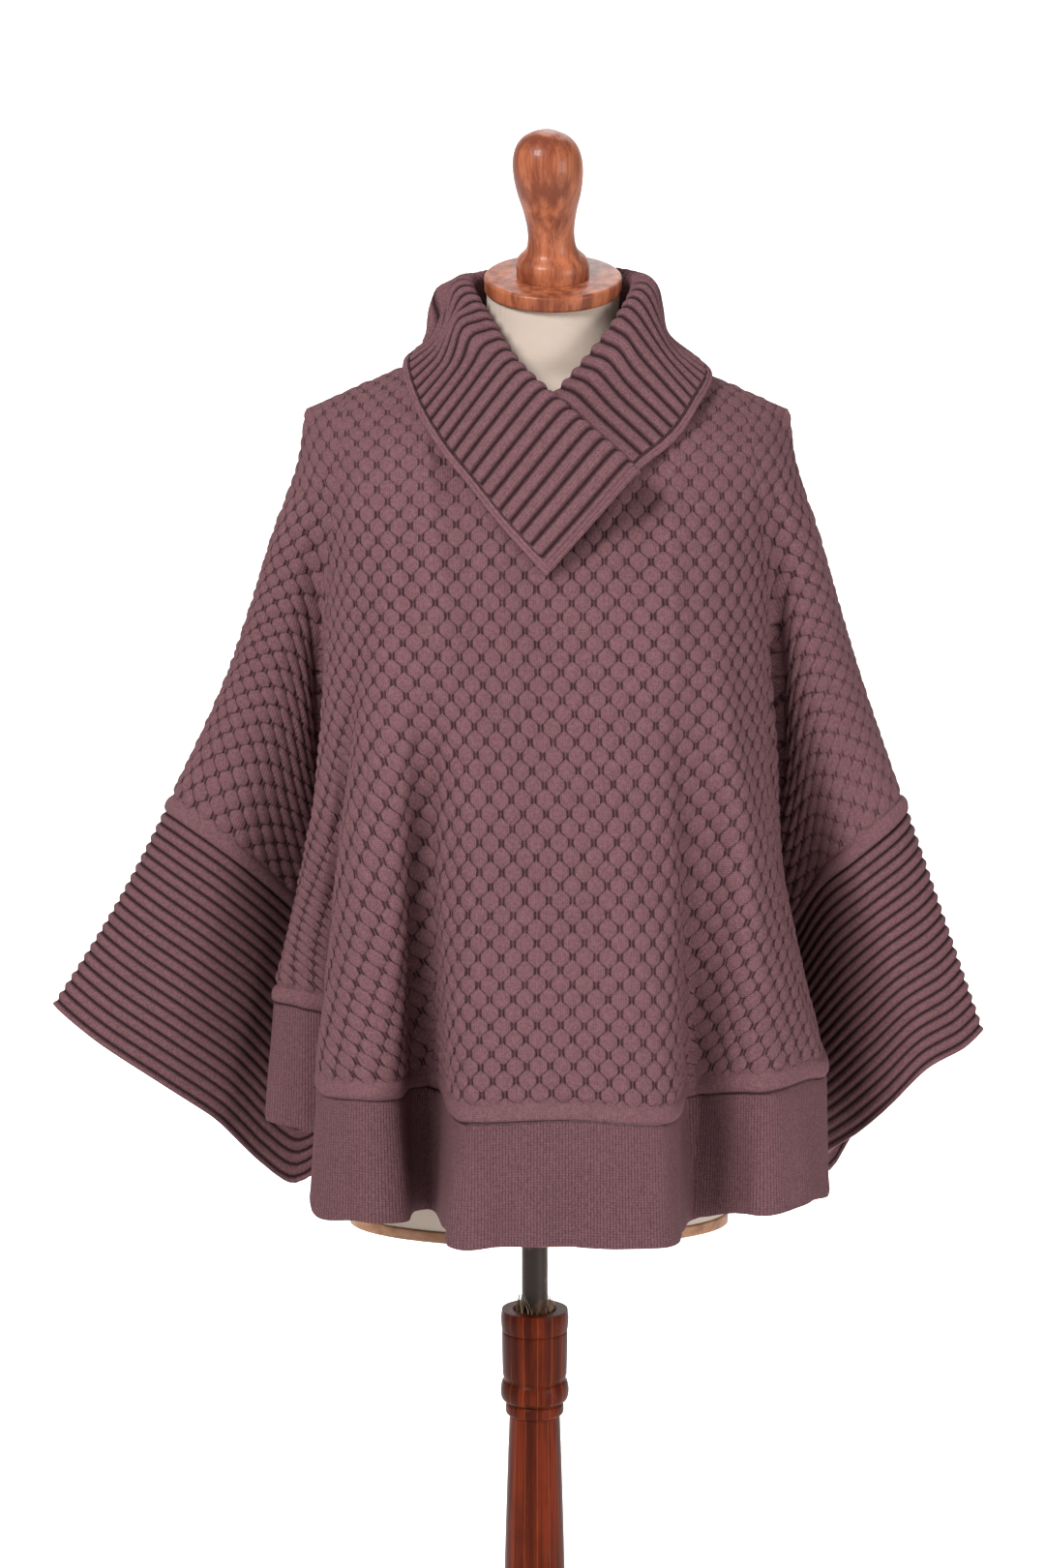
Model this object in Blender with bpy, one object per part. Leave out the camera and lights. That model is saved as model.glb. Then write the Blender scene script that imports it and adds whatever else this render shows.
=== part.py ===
"""Knitted poncho sweater on a limbless dress form with a turned wooden stand.

Metres, +Z up, the wearer faces -Y. The origin is the middle of the foot's underside.
Every garment piece is a wall: its outer points are worked out first, and its inner points
lie one cloth thickness behind them.
"""
import math

import bpy
from mathutils import Matrix, Vector

MM = 0.001

# Cloth
CLOTH = 3.0 * MM                 # thickness of the knitted wall
SEAM_GAP = 0.3 * MM              # left between two pieces at a seam
BAND_HEIGHT = 97.0 * MM          # hem band, seam to hem
BAND_FLARE = 5.0 * MM            # how far the hem stands out from its seam
BAND_SEAM_GAP = 0.4 * MM
CUFF_RIBS = 19
CUFF_SEAM_GAP = 0.5 * MM
CUFF_SIDE_GAP = 3.5 * MM         # between the cuff and the side seam under the arm
CUFF_UNDERARM = 0.7              # share of the way round where the cuff leaves the side seam
CUFF_HOLLOWS = {"right": 4.0 * MM, "left": 0.0}    # the outer edge draws in midway
COLLAR_RIBS = 58
RIB_RELIEF = 2.2 * MM            # height of a rib over the groove beside it
COLLAR_STEPS = (0.0, 1.0, 2.0, 2.5, 3.0, 3.5, 4.0, 5.0, 5.75, 6.0)   # rows across the strip
COLLAR_EDGING = 5.7              # the strip is plain from this step to its outer edge
COLLAR_FLAP_STEP = 4.0           # the strip hangs over the panels from this step
COLLAR_CLEARANCE = 1.0 * MM      # kept between the flap and the panels
COLLAR_CLEARED_ROWS = 6          # panel rows that can lie under the flap
COLLAR_SEAM_GAP = 0.8 * MM
COLLAR_WINDOW = 12.0 * MM        # the neckline's direction is taken over this much each way

# Shoulders and neckline: x of the sleeve edges, the neck points and the V's lowest point
NECK_MIDDLE = 9.0 * MM
NECK_HALF = 95.0 * MM
NECK_POINT_Z = 1312.0 * MM
V_BOTTOM_Z = 1160.0 * MM
BACK_NECK_Z = 1334.0 * MM
SHOULDER_SLOPE = 0.42            # fall of the shoulder line for each metre outwards
SHOULDER_HALF = 192.0 * MM
SHOULDER_TURN = 40.0 * MM        # yoke depth at which the cloth leaves the shoulder level
BACK_NECK_ROUNDING = 0.3         # how soon the back neck edge comes forward to the neck points
YOKE_DROP = 35.0 * MM            # the yoke section lies this far under the top edge
YOKE_SPREAD = 0.5                # share of the way out to the chest that is reached at the yoke
CHEST_EASE = 10.0 * MM           # outer cloth in front of the form
CHEST_LEVEL = 0.31               # share of a wale's fall from top edge to bottom seam
WAIST_LEVEL = 0.69
YOKE_LEVEL = 0.10
PANEL_ROWS = 13
ROW_CROWDING = 1.12              # over 1, the rows stand closer together at the top
PANEL_STEP = 26.0 * MM           # aim for the spacing of grid columns along the bottom seam
BAND_ROWS = 3
CUFF_LINING_ROWS = 6             # rows of the cuff's plain inside

# The dress form: height, half width, depth forward, depth back, tilt of the section
FORM_MIDDLE_X = 3.5 * MM         # middle of the base board
FORM_LEAN = 10.5 * MM            # the neck stands this far to +X of the base
FORM_SIDES = 26
FORM_SECTIONS = (
    # z      half  front  back  tilt
    (615.3, 154.0, 78.5, 78.5, 0.0),
    (700.0, 158.0, 95.0, 91.0, 0.0),
    (780.0, 155.0, 102.0, 96.0, 0.0),
    (870.0, 133.0, 97.0, 85.0, 0.0),
    (945.0, 118.0, 92.0, 76.0, 0.0),
    (1030.0, 126.0, 106.0, 80.0, 0.0),
    (1110.0, 142.0, 126.0, 87.0, 0.0),
    (1170.0, 154.0, 124.0, 91.0, 0.0),
    (1220.0, 170.0, 106.0, 90.0, 0.0),
    (1250.0, 174.0, 87.0, 79.0, 0.0),
    (1272.0, 160.0, 70.0, 64.0, 0.0),
    (1288.0, 120.0, 57.0, 61.0, 0.0),
    (1303.0, 80.0, 49.0, 56.0, 4.0),
    (1322.0, 60.0, 49.0, 54.0, 9.0),
    (1344.0, 53.0, 48.0, 51.0, 14.0),
    (1364.5, 52.5, 49.0, 51.0, 16.5),
)

# Wales of the front, from the wearer's right sleeve edge to the left one. Each row is a fold
# line: x on the top edge, x and y at chest and waist level, and where it meets the bottom seam.
FRONT_WALES = (
    # name                  top  chest x, y   waist x, y   seam x, y, z
    ("right_sleeve_edge", -182, -208, 0, -250, 0, -298, 0, 947),
    ("right_sleeve_turn", -174, -202, -30, -240, -34, -281, -30, 941),
    ("right_sleeve_front", -167, -187, -46, -214, -46, -240, -38, 913),
    ("right_sleeve_inner", -162, -177, -48, -192, -34, -204, 6, 871),
    ("right_sleeve_under", -158, -171, -48, -177, -14, -180, 42, 838),
    ("right_underarm", -154, -167, -50, -167, 0, -169, 60, 826),
    ("right_corner", -149, -163, -58, -165, -28, -168, 60, 792),
    ("right_side_crest", -143, -157, -78, -176, -75, -209, -48, 802),
    ("right_side_face", -137, -146, -102, -163, -96, -187, -79, 802),
    ("right_side_valley", -132, -133, -116, -152, -100, -157, -88, 791),
    ("right_pleat_outer", -123, -122, -126, -152, -130, -171, -138, 751),
    ("right_pleat_crest", -114, -110, -134, -131, -152, -136, -172, 750),
    ("right_pleat_inner", -103, -98, -136, -108, -154, -107, -164, 749),
    ("right_valley_outer", -94, -88, -140, -95, -134, -98, -122, 747),
    ("right_neck_point", -86, -77, -143, -79, -131, -76, -117, 745),
    ("centre_pleat_right", -70, -62, -146, -67, -158, -63, -198, 742),
    ("centre_crest_right", -34, -34, -150, -40, -182, -42, -224, 744),
    ("centre", 9, 14, -157, 19, -190, 22, -228, 748),
    ("centre_crest_left", 52, 62, -150, 73, -182, 82, -222, 743),
    ("centre_pleat_left", 88, 89, -146, 103, -158, 107, -198, 740),
    ("left_neck_point", 104, 103, -142, 115, -132, 118, -124, 740),
    ("left_valley_outer", 111, 112, -137, 131, -130, 140, -125, 743),
    ("left_pleat_inner", 120, 122, -131, 146, -134, 160, -142, 748),
    ("left_pleat_crest", 131, 134, -124, 163, -134, 182, -148, 750),
    ("left_pleat_outer", 145, 152, -108, 181, -108, 212, -118, 752),
    ("left_side_crest", 158, 174, -76, 192, -70, 232, -70, 752),
    ("left_corner", 166, 182, -56, 194, -30, 202, 60, 790),
    ("left_underarm", 172, 187, -50, 194, 0, 203, 60, 828),
    ("left_sleeve_under", 176, 192, -48, 203, -14, 214, 42, 844),
    ("left_sleeve_inner", 180, 198, -48, 214, -34, 232, 6, 882),
    ("left_sleeve_front", 185, 208, -46, 230, -46, 253, -36, 910),
    ("left_sleeve_turn", 192, 220, -30, 253, -34, 286, -28, 936),
    ("left_sleeve_edge", 201, 226, 0, 264, 0, 300, 0, 947),
)

# Wales of the back, from the wearer's left sleeve edge to the right one
BACK_WALES = (
    # name                  top  chest x, y   waist x, y   seam x, y, z
    ("left_sleeve_edge", 201, 226, 0, 264, 0, 300, 0, 947),
    ("left_sleeve_turn", 192, 219, 32, 255, 40, 287, 34, 938),
    ("left_sleeve_back", 184, 206, 56, 232, 66, 256, 58, 914),
    ("left_sleeve_inner", 179, 196, 66, 213, 84, 234, 80, 880),
    ("left_sleeve_under", 175, 190, 68, 202, 84, 214, 74, 844),
    ("left_underarm", 171, 186, 70, 195, 82, 203, 60, 828),
    ("left_corner", 166, 182, 78, 194, 90, 202, 60, 790),
    ("left_side_face", 160, 176, 89, 196, 106, 218, 84, 790),
    ("left_side_crest", 154, 168, 97, 190, 122, 218, 118, 782),
    ("left_side_valley", 144, 156, 104, 172, 120, 190, 130, 774),
    ("left_pleat_outer", 135, 144, 110, 160, 138, 174, 158, 762),
    ("left_pleat_crest", 126, 130, 115, 142, 150, 152, 182, 752),
    ("left_pleat_inner", 114, 112, 119, 118, 144, 122, 166, 748),
    ("left_neck_point", 104, 92, 123, 96, 130, 98, 134, 748),
    ("left_neck_side", 98, 85, 124, 87, 130, 89, 136, 747),
    ("left_valley_inner", 86, 76, 125, 78, 132, 80, 140, 747),
    ("centre_pleat_left", 66, 52, 128, 52, 154, 54, 190, 744),
    ("centre_crest", 28, 18, 130, 16, 166, 15, 206, 742),
    ("centre_pleat_right", -12, -18, 128, -22, 156, -24, 194, 743),
    ("right_valley_inner", -44, -48, 125, -54, 132, -56, 142, 747),
    ("right_valley_outer", -66, -66, 123, -72, 130, -76, 134, 748),
    ("right_neck_side", -80, -78, 121, -85, 136, -88, 148, 749),
    ("right_neck_point", -86, -88, 119, -98, 142, -102, 162, 750),
    ("right_pleat_crest", -100, -108, 113, -124, 149, -132, 180, 756),
    ("right_pleat_outer", -114, -126, 106, -142, 136, -154, 156, 766),
    ("right_side_valley", -126, -138, 100, -153, 118, -170, 128, 780),
    ("right_side_crest", -137, -149, 93, -168, 118, -196, 116, 790),
    ("right_side_face", -143, -156, 86, -170, 104, -192, 84, 794),
    ("right_corner", -148, -162, 78, -166, 90, -168, 60, 792),
    ("right_underarm", -153, -167, 70, -170, 82, -169, 60, 826),
    ("right_sleeve_under", -157, -171, 68, -178, 84, -180, 74, 838),
    ("right_sleeve_inner", -161, -177, 64, -192, 82, -206, 78, 870),
    ("right_sleeve_back", -166, -187, 56, -215, 64, -242, 58, 915),
    ("right_sleeve_turn", -174, -201, 32, -241, 40, -282, 34, 941),
    ("right_sleeve_edge", -182, -208, 0, -250, 0, -298, 0, 947),
)
UNDERARMS_AND_CORNERS = ("right_underarm", "right_corner", "left_corner", "left_underarm")
NECK_POINTS = ("right_neck_point", "left_neck_point")

# Cuffs: the mouth edge from its outer end to its inner end, along the front and the back half
CUFF_MOUTHS = {
    # share of the way, x, front y, z, back y, z
    "right": (
        (0.00, -391, 2, 787, 2, 787),
        (0.15, -356, -16, 761, 24, 764),
        (0.38, -304, -24, 728, 44, 730),
        (0.58, -262, -16, 697, 58, 697),
        (0.70, -246, 6, 675, 66, 680),
        (0.84, -228, 28, 649, 74, 656),
        (0.95, -206, 44, 626, 72, 632),
        (1.00, -188, 56, 634, 56, 634),
    ),
    "left": (
        (0.00, 364, 2, 766, 2, 766),
        (0.15, 348, -12, 754, 22, 750),
        (0.35, 318, -21, 739, 42, 722),
        (0.55, 290, -14, 707, 56, 692),
        (0.72, 268, 6, 681, 64, 665),
        (0.86, 254, 26, 665, 66, 641),
        (0.95, 245, 40, 655, 62, 632),
        (1.00, 238, 54, 640, 54, 640),
    ),
}

# Collar: share of the neckline where the strip is sewn on, its roll line and its outer edge
COLLAR_SECTIONS = (
    # name          seam   roll x, y, z        edge x, y, z       roll radius, bulge
    ("over_end", 0.03, 79, -142, 1233, 8, -141, 1154, 6.0, 1.0),
    ("over_low", 0.07, 61, -137, 1250, -9, -137, 1172, 6.0, 2.0),
    ("over_mid", 0.12, 38, -125, 1269, -29, -131, 1194, 6.5, 3.0),
    ("over_throat", 0.19, 13, -107, 1290, -51, -121, 1221, 7.0, 4.0),
    ("over_neck", 0.25, -13, -81, 1313, -74, -103, 1248, 8.0, 4.0),
    ("right_front", 0.31, -34, -46, 1343, -94, -73, 1279, 9.0, -1.0),
    ("right_side", 0.37, -52, -4, 1371, -104, -20, 1309, 9.0, -12.0),
    ("right_back", 0.43, -44, 42, 1375, -84, 50, 1317, 9.0, -10.0),
    ("back_right", 0.475, -26, 70, 1378, -46, 90, 1323, 11.0, -1.0),
    ("back", 0.525, 14, 80, 1380, 13, 104, 1324, 11.0, 0.0),
    ("back_left", 0.575, 55, 70, 1379, 77, 90, 1321, 11.0, -1.0),
    ("left_back", 0.62, 75, 42, 1376, 114, 50, 1314, 10.0, -9.0),
    ("left_side", 0.68, 79, -4, 1370, 139, -20, 1301, 9.5, -12.0),
    ("left_front", 0.74, 63, -42, 1344, 126, -70, 1278, 8.5, -1.0),
    ("under_neck", 0.79, 39, -62, 1314, 109, -91, 1255, 7.0, 3.0),
    ("under_throat", 0.84, 18, -78, 1291, 86, -106, 1238, 6.5, 3.0),
    ("under_end", 0.88, 4, -88, 1276, 70, -114, 1224, 6.0, 2.0),
)

# Stand
CAP_RADIUS = 54.5 * MM
CAP_HEIGHT = 13.0 * MM
CAP_ROUNDING = 2.5 * MM
CAP_SIDES = 28
NECK_TILT = math.radians(16.5)
BOARD_HALF_WIDTH = 155.5 * MM
BOARD_HALF_DEPTH = 80.0 * MM
BOARD_HEIGHT = 9.5 * MM
BOARD_ROUNDING = 1.5 * MM
BOARD_SIDES = 32
BOARD_Z = 605.5 * MM
POLE_RADIUS = 10.75 * MM
POLE_DEPTH = 150.0 * MM          # how deep the pole stands in the post
POST_TOP = 531.0 * MM
RECESS_RADIUS = 17.0 * MM        # the post's mouth, packed with straw
RECESS_DEPTH = 9.0 * MM
RECESS_CHAMFER = 1.5 * MM
BORE_CLEARANCE = 0.45 * MM       # between the pole and the post round it
FOOT_SIDES = 32
TURNED_SIDES = 20
KNOB_LEAN = math.tan(math.radians(-2.8))
KNOB_PROFILE = (
    # radius, height over the cap
    (28.8, 0.3), (28.8, 10.0), (27.0, 14.5), (20.8, 21.0), (18.7, 29.0), (18.8, 40.0),
    (21.4, 54.0), (25.2, 68.0), (27.4, 82.0), (27.3, 94.0), (24.4, 104.5), (18.4, 112.0),
    (9.6, 116.5),
)
POST_PROFILE = (
    # radius, height over the floor
    (20.0, 26.3), (20.0, 44.0), (33.0, 50.0), (35.5, 60.0), (33.0, 70.0), (25.0, 76.0),
    (23.0, 90.0), (25.0, 130.0), (26.5, 210.0), (25.2, 300.0), (23.0, 380.0), (21.3, 430.0),
    (20.9, 441.0), (23.8, 443.0), (24.0, 449.0), (22.6, 452.0), (27.0, 455.0), (28.3, 462.0),
    (27.2, 469.0), (25.6, 472.0), (26.6, 476.0), (27.2, 509.0), (26.2, 512.0), (27.4, 515.0),
    (28.0, 524.0), (27.2, 531.0),
)

FOOT_PROFILE = (
    # radius, height over the floor
    (157.0, 0.0), (160.0, 3.0), (160.0, 13.0), (156.0, 18.0), (60.0, 25.0), (55.0, 26.0),
)

COLOURS = {
    # slot: red, green, blue, roughness, metallic
    "bubble_knit": (0.235, 0.130, 0.135, 0.95, 0.0),
    "plain_knit": (0.230, 0.125, 0.130, 0.95, 0.0),
    "rib_knit": (0.240, 0.135, 0.138, 0.95, 0.0),
    "canvas": (0.60, 0.55, 0.46, 0.90, 0.0),
    "turned_wood": (0.38, 0.12, 0.05, 0.35, 0.0),
    "plywood": (0.45, 0.24, 0.12, 0.55, 0.0),
    "stained_wood": (0.16, 0.03, 0.012, 0.25, 0.0),
    "dark_steel": (0.05, 0.04, 0.035, 0.45, 0.9),
}


def clearScene():
    for thing in list(bpy.data.objects):
        bpy.data.objects.remove(thing, do_unlink=True)


def material(slot):
    found = bpy.data.materials.get(slot)
    if found:
        return found
    red, green, blue, roughness, metallic = COLOURS[slot]
    made = bpy.data.materials.new(slot)
    made.use_nodes = True
    shader = made.node_tree.nodes["Principled BSDF"]
    shader.inputs["Base Color"].default_value = (red, green, blue, 1.0)
    shader.inputs["Roughness"].default_value = roughness
    shader.inputs["Metallic"].default_value = metallic
    return made


def addObject(name, points, faces, slot, smooth_angle=math.radians(40)):
    mesh = bpy.data.meshes.new(name)
    mesh.from_pydata([tuple(p) for p in points], [], faces)
    mesh.materials.append(material(slot))
    mesh.shade_smooth()
    mesh.set_sharp_from_angle(angle=smooth_angle)
    made = bpy.data.objects.new(name, mesh)
    bpy.context.scene.collection.objects.link(made)
    return made


# Curves -------------------------------------------------------------------------------------

def through(points, u, corners=()):
    """A smooth curve through the points, one whole step of u for each, sharp at corners."""
    last = len(points) - 1
    i = min(int(u), last - 1)
    f = u - i
    p1, p2 = points[i], points[i + 1]
    p0 = points[i - 1] if i > 0 and i not in corners else p1 * 2 - p2
    p3 = points[i + 2] if i + 2 <= last and i + 1 not in corners else p2 * 2 - p1
    return (p1 * 2 + (p2 - p0) * f + (p0 * 2 - p1 * 5 + p2 * 4 - p3) * f * f
            + (p1 * 3 - p0 - p2 * 3 + p3) * f ** 3) * 0.5


def hermite(stations, levels, t, first_slope=None):
    """A smooth curve through stations at uneven levels."""
    last = len(levels) - 1
    k = max(i for i in range(last) if levels[i] <= t or i == 0)
    span = levels[k + 1] - levels[k]
    f = (t - levels[k]) / span

    def slope(i):
        if i == 0:
            return first_slope or (stations[1] - stations[0]) / (levels[1] - levels[0])
        if i == last:
            return (stations[last] - stations[last - 1]) / (levels[last] - levels[last - 1])
        before = (stations[i] - stations[i - 1]) / (levels[i] - levels[i - 1])
        after = (stations[i + 1] - stations[i]) / (levels[i + 1] - levels[i])
        share = (levels[i] - levels[i - 1]) / (levels[i + 1] - levels[i - 1])
        return before * (1 - share) + after * share

    a = 2 * f ** 3 - 3 * f ** 2 + 1
    b = f ** 3 - 2 * f ** 2 + f
    return (stations[k] * a + slope(k) * (b * span) + stations[k + 1] * (1 - a)
            + slope(k + 1) * ((f ** 3 - f ** 2) * span))


def formSize(z):
    """Half width, depth forward and depth back of the dress form at a height in metres."""
    rows = [tuple(value * MM for value in row[:4]) for row in FORM_SECTIONS]
    z = min(max(z, rows[0][0]), rows[-1][0])
    for low, high in zip(rows, rows[1:]):
        if z <= high[0]:
            f = (z - low[0]) / (high[0] - low[0])
            return tuple(low[i] * (1 - f) + high[i] * f for i in (1, 2, 3))
    return rows[-1][1:4]


# The panels ---------------------------------------------------------------------------------

class Panel:
    """Front (side -1) or back (side +1): outer points and normals on a grid of wales."""

    def __init__(self, wales, side):
        self.side = side
        self.wales = wales
        self.names = [row[0] for row in wales]
        self.seam_corners = sorted(self.index(name) for name in UNDERARMS_AND_CORNERS)
        self.top_corners = sorted(self.index(name) for name in NECK_POINTS)
        self.stations = [self.station(k) for k in range(5)]
        self.us = self.columnPlaces()
        self.levels = [(j / PANEL_ROWS) ** ROW_CROWDING for j in range(PANEL_ROWS + 1)]
        self.points = [[self.point(u, t) for u in self.us] for t in self.levels]
        self.normals = gridNormals(self.points)
        self.trueSeams()

    def index(self, name):
        return self.names.index(name)

    def columnPlaces(self):
        """Even steps along the bottom seam, with a column on every fold line."""
        places = []
        for i, (a, b) in enumerate(zip(self.stations[-1], self.stations[-1][1:])):
            steps = max(1, round((b - a).length / PANEL_STEP))
            places.extend(i + k / steps for k in range(steps))
        return places + [len(self.wales) - 1]

    def isShoulder(self, u):
        return not self.top_corners[0] < u < self.top_corners[-1]

    def topPoint(self, index):
        x = self.wales[index][1] * MM
        out = abs(x - NECK_MIDDLE)
        if self.isShoulder(index):
            return Vector((x, 0.0, NECK_POINT_Z - SHOULDER_SLOPE * max(0.0, out - NECK_HALF)))
        share = out / NECK_HALF
        if self.side < 0:
            z = V_BOTTOM_Z + (NECK_POINT_Z - V_BOTTOM_Z) * share
        else:
            z = BACK_NECK_Z - (BACK_NECK_Z - NECK_POINT_Z) * share ** 2
        rounding = 1.0 if self.side < 0 else (1.0 - share ** 2) ** BACK_NECK_ROUNDING
        return Vector((x, self.sectionY(x, z) * rounding, z))

    def sectionY(self, x, z):
        """The cloth's y where it lies round the form's chest or back at a height."""
        half, front, back = formSize(z)
        depth = (front if self.side < 0 else back) + CHEST_EASE
        share = min(1.0, abs(x - NECK_MIDDLE) / SHOULDER_HALF)
        return self.side * depth * math.sqrt(1.0 - share ** 2)

    def station(self, k):
        return [self.stationPoint(i, k) for i in range(len(self.wales))]

    def stationPoint(self, index, k):
        chest_x, chest_y, waist_x, waist_y, seam_x, seam_y, seam_z = self.wales[index][2:]
        top = self.topPoint(index)
        seam = Vector((seam_x, seam_y, seam_z)) * MM
        if k == 0:
            return top
        if k == 1:
            share = YOKE_LEVEL / CHEST_LEVEL
            x = top.x + (chest_x * MM - top.x) * share * YOKE_SPREAD
            z = top.z - YOKE_DROP
            return Vector((x, self.sectionY(x, z), z))
        if k == 2:
            return Vector((chest_x * MM, chest_y * MM, top.z + (seam.z - top.z) * CHEST_LEVEL))
        if k == 3:
            return Vector((waist_x * MM, waist_y * MM, top.z + (seam.z - top.z) * WAIST_LEVEL))
        return seam

    def across(self, k, u):
        row = self.stations[k]
        corners = ()
        if k == 0:
            corners = self.top_corners + ([self.index("centre")] if self.side < 0 else [])
        if k == 4:
            corners = self.seam_corners
        if k >= 1:
            # the sleeve edges turn round to the other panel
            turned = [Vector((p.x, -p.y, p.z)) for p in (row[1], row[-2])]
            shifted = tuple(c + 1 for c in corners)
            return through([turned[0]] + row + [turned[1]], u + 1, shifted)
        return through(row, u, corners)

    def point(self, u, t):
        stations = [self.across(k, u) for k in range(5)]
        levels = (0.0, YOKE_LEVEL, CHEST_LEVEL, WAIST_LEVEL, 1.0)
        first = (stations[1] - stations[0]) / YOKE_LEVEL
        if self.isShoulder(u):
            # the cloth leaves the shoulder line level, fore or aft
            level = min(1.0, abs(stations[1].y) / SHOULDER_TURN)
            first = Vector((first.x, first.y * (1 + 0.3 * level), first.z * (1 - level)))
        return hermite(stations, levels, t, first)

    def trueSeams(self):
        """The shoulder seams and sleeve edges lie in y = 0, half a seam gap off it."""
        shift = self.side * SEAM_GAP / 2
        last = len(self.us) - 1
        shoulders = [i for i, u in enumerate(self.us) if self.isShoulder(u)]
        for i in shoulders:
            near = [self.points[0][k] for k in (i - 1, i + 1) if k in shoulders]
            ahead = near[1] if len(near) > 1 else self.points[0][i]
            self.flatten(0, i, ahead - near[0], shift)
        for j in range(1, len(self.points)):
            below = min(j + 1, len(self.points) - 1)
            for i in (0, last):
                self.flatten(j, i, self.points[below][i] - self.points[j - 1][i], shift)
        # the short side seams face out to the side, and the underarms face down
        for low, high in (self.seam_corners[:2], self.seam_corners[2:]):
            for i in self.columns(low, high):
                point = self.points[-1][i]
                point.y += shift
                is_underarm = "underarm" in self.names[round(self.us[i])]
                sideways = Vector((math.copysign(1.0, point.x), 0, 0))
                self.normals[-1][i] = Vector((0, 0, -1)) if is_underarm else sideways

    def flatten(self, j, i, tangent, shift):
        """The point moves to the seam's plane and its normal stays in it, square to the seam."""
        normal = Vector((-tangent.z, 0, tangent.x)).normalized()
        old = self.normals[j][i]
        if old.x * normal.x + old.z * normal.z < 0:
            normal = -normal
        self.normals[j][i] = normal
        self.points[j][i].y = shift

    def columns(self, low, high):
        low, high = (self.index(end) if isinstance(end, str) else end for end in (low, high))
        return [i for i, u in enumerate(self.us) if low - 1e-6 <= u <= high + 1e-6]


def gridNormals(points, wrap=False):
    """Outward unit normals of a grid whose columns run round the body and rows run down."""
    rows, cols = len(points), len(points[0])
    spans = cols if wrap else cols - 1
    normals = [[Vector() for i in range(cols)] for j in range(rows)]
    for j in range(rows - 1):
        for i in range(spans):
            k = (i + 1) % cols
            a, b, c, d = points[j][i], points[j][k], points[j + 1][k], points[j + 1][i]
            facing = (c - a).cross(b - d).normalized()
            for row, col in ((j, i), (j, k), (j + 1, k), (j + 1, i)):
                normals[row][col] += facing
    return [[normal.normalized() for normal in line] for line in normals]


def awayFrom(tangent, heading, normal=None):
    """The direction nearest the heading that is square to a seam, and to a normal if given."""
    if normal is not None:
        away = tangent.cross(normal).normalized()
        return away * math.copysign(1.0, away.dot(heading))
    along = tangent.normalized()
    return (heading - along * heading.dot(along)).normalized()


def wall(name, points, normals, slot, wrap=False, relief=None, inside_rows=None,
         inside_columns=None):
    """A closed wall: outer points, raised by relief, over a plain inside.

    The inside may keep only some rows or columns, the first and last among them.
    """
    rows, cols = len(points), len(points[0])
    kept_rows = inside_rows or list(range(rows))
    kept_cols = inside_columns or list(range(cols))
    verts = [points[j][i] + normals[j][i] * (relief(j, i) if relief else 0.0)
             for j in range(rows) for i in range(cols)]
    behind = {}
    for j in kept_rows:
        for i in kept_cols:
            behind[j, i] = len(verts)
            verts.append(points[j][i] - normals[j][i] * CLOTH)
    faces = []
    for j in range(rows - 1):
        for i in range(cols if wrap else cols - 1):
            a, b = j * cols + i, j * cols + (i + 1) % cols
            faces.extend(halves(a, a + cols, b + cols, b, i < cols // 2))
    spans = list(zip(kept_cols, kept_cols[1:] + ([kept_cols[0]] if wrap else [])))
    for j, below in zip(kept_rows, kept_rows[1:]):
        for i, following in spans:
            faces.extend(halves(behind[j, following], behind[below, following],
                                behind[below, i], behind[j, i], i >= cols // 2))
    last = (rows - 1) * cols
    for i, following in spans:
        # triangles, so that two ends that meet at a seam are cut along the same diagonals
        edge = [k % cols for k in range(i, following + 1 if following > i else cols + 1)]
        for k, following_k in zip(edge, edge[1:]):
            faces.append((k, following_k, behind[0, i]))
            faces.append((last + following_k, last + k, behind[rows - 1, i]))
        faces.append((edge[-1], behind[0, following], behind[0, i]))
        faces.append((behind[rows - 1, following], last + edge[-1], behind[rows - 1, i]))
    if not wrap:
        for j, below in zip(kept_rows, kept_rows[1:]):
            down = list(range(j, below + 1))
            faces.append(tuple(k * cols for k in reversed(down))
                         + (behind[j, 0], behind[below, 0]))
            faces.append(tuple(k * cols + cols - 1 for k in down)
                         + (behind[below, cols - 1], behind[j, cols - 1]))
    return addObject(name, verts, faces, slot)


def halves(a, b, c, d, from_first):
    """A cell as two triangles, cut from its first corner or from its second."""
    return [(a, b, c), (a, c, d)] if from_first else [(a, b, d), (b, c, d)]


def makePanel(name, panel):
    return wall(name, panel.points, panel.normals, "bubble_knit")


def makeBand(name, panel, low, high):
    """A plain band under the columns between two side seams."""
    picked = panel.columns(low, high)
    seam = [panel.points[-1][i] for i in picked]
    first_normals = [panel.normals[-1][i] for i in picked]
    down = Vector((0, 0, -1))
    rows = []
    for j in range(BAND_ROWS + 1):
        share = j / BAND_ROWS
        line = []
        for i, (point, normal) in enumerate(zip(seam, first_normals)):
            tangent = seam[min(i + 1, len(seam) - 1)] - seam[max(i - 1, 0)]
            out = Vector((normal.x, normal.y, 0)).normalized()
            start = point + awayFrom(tangent, down, normal) * BAND_SEAM_GAP
            line.append(start + down * BAND_HEIGHT * share + out * BAND_FLARE * share)
        rows.append(line)
    normals = gridNormals(rows)
    normals[0] = first_normals
    for j in range(1, BAND_ROWS + 1):
        for end in (0, -1):
            normals[j][end] = first_normals[end]
    return wall(name, rows, normals, "plain_knit")


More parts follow.
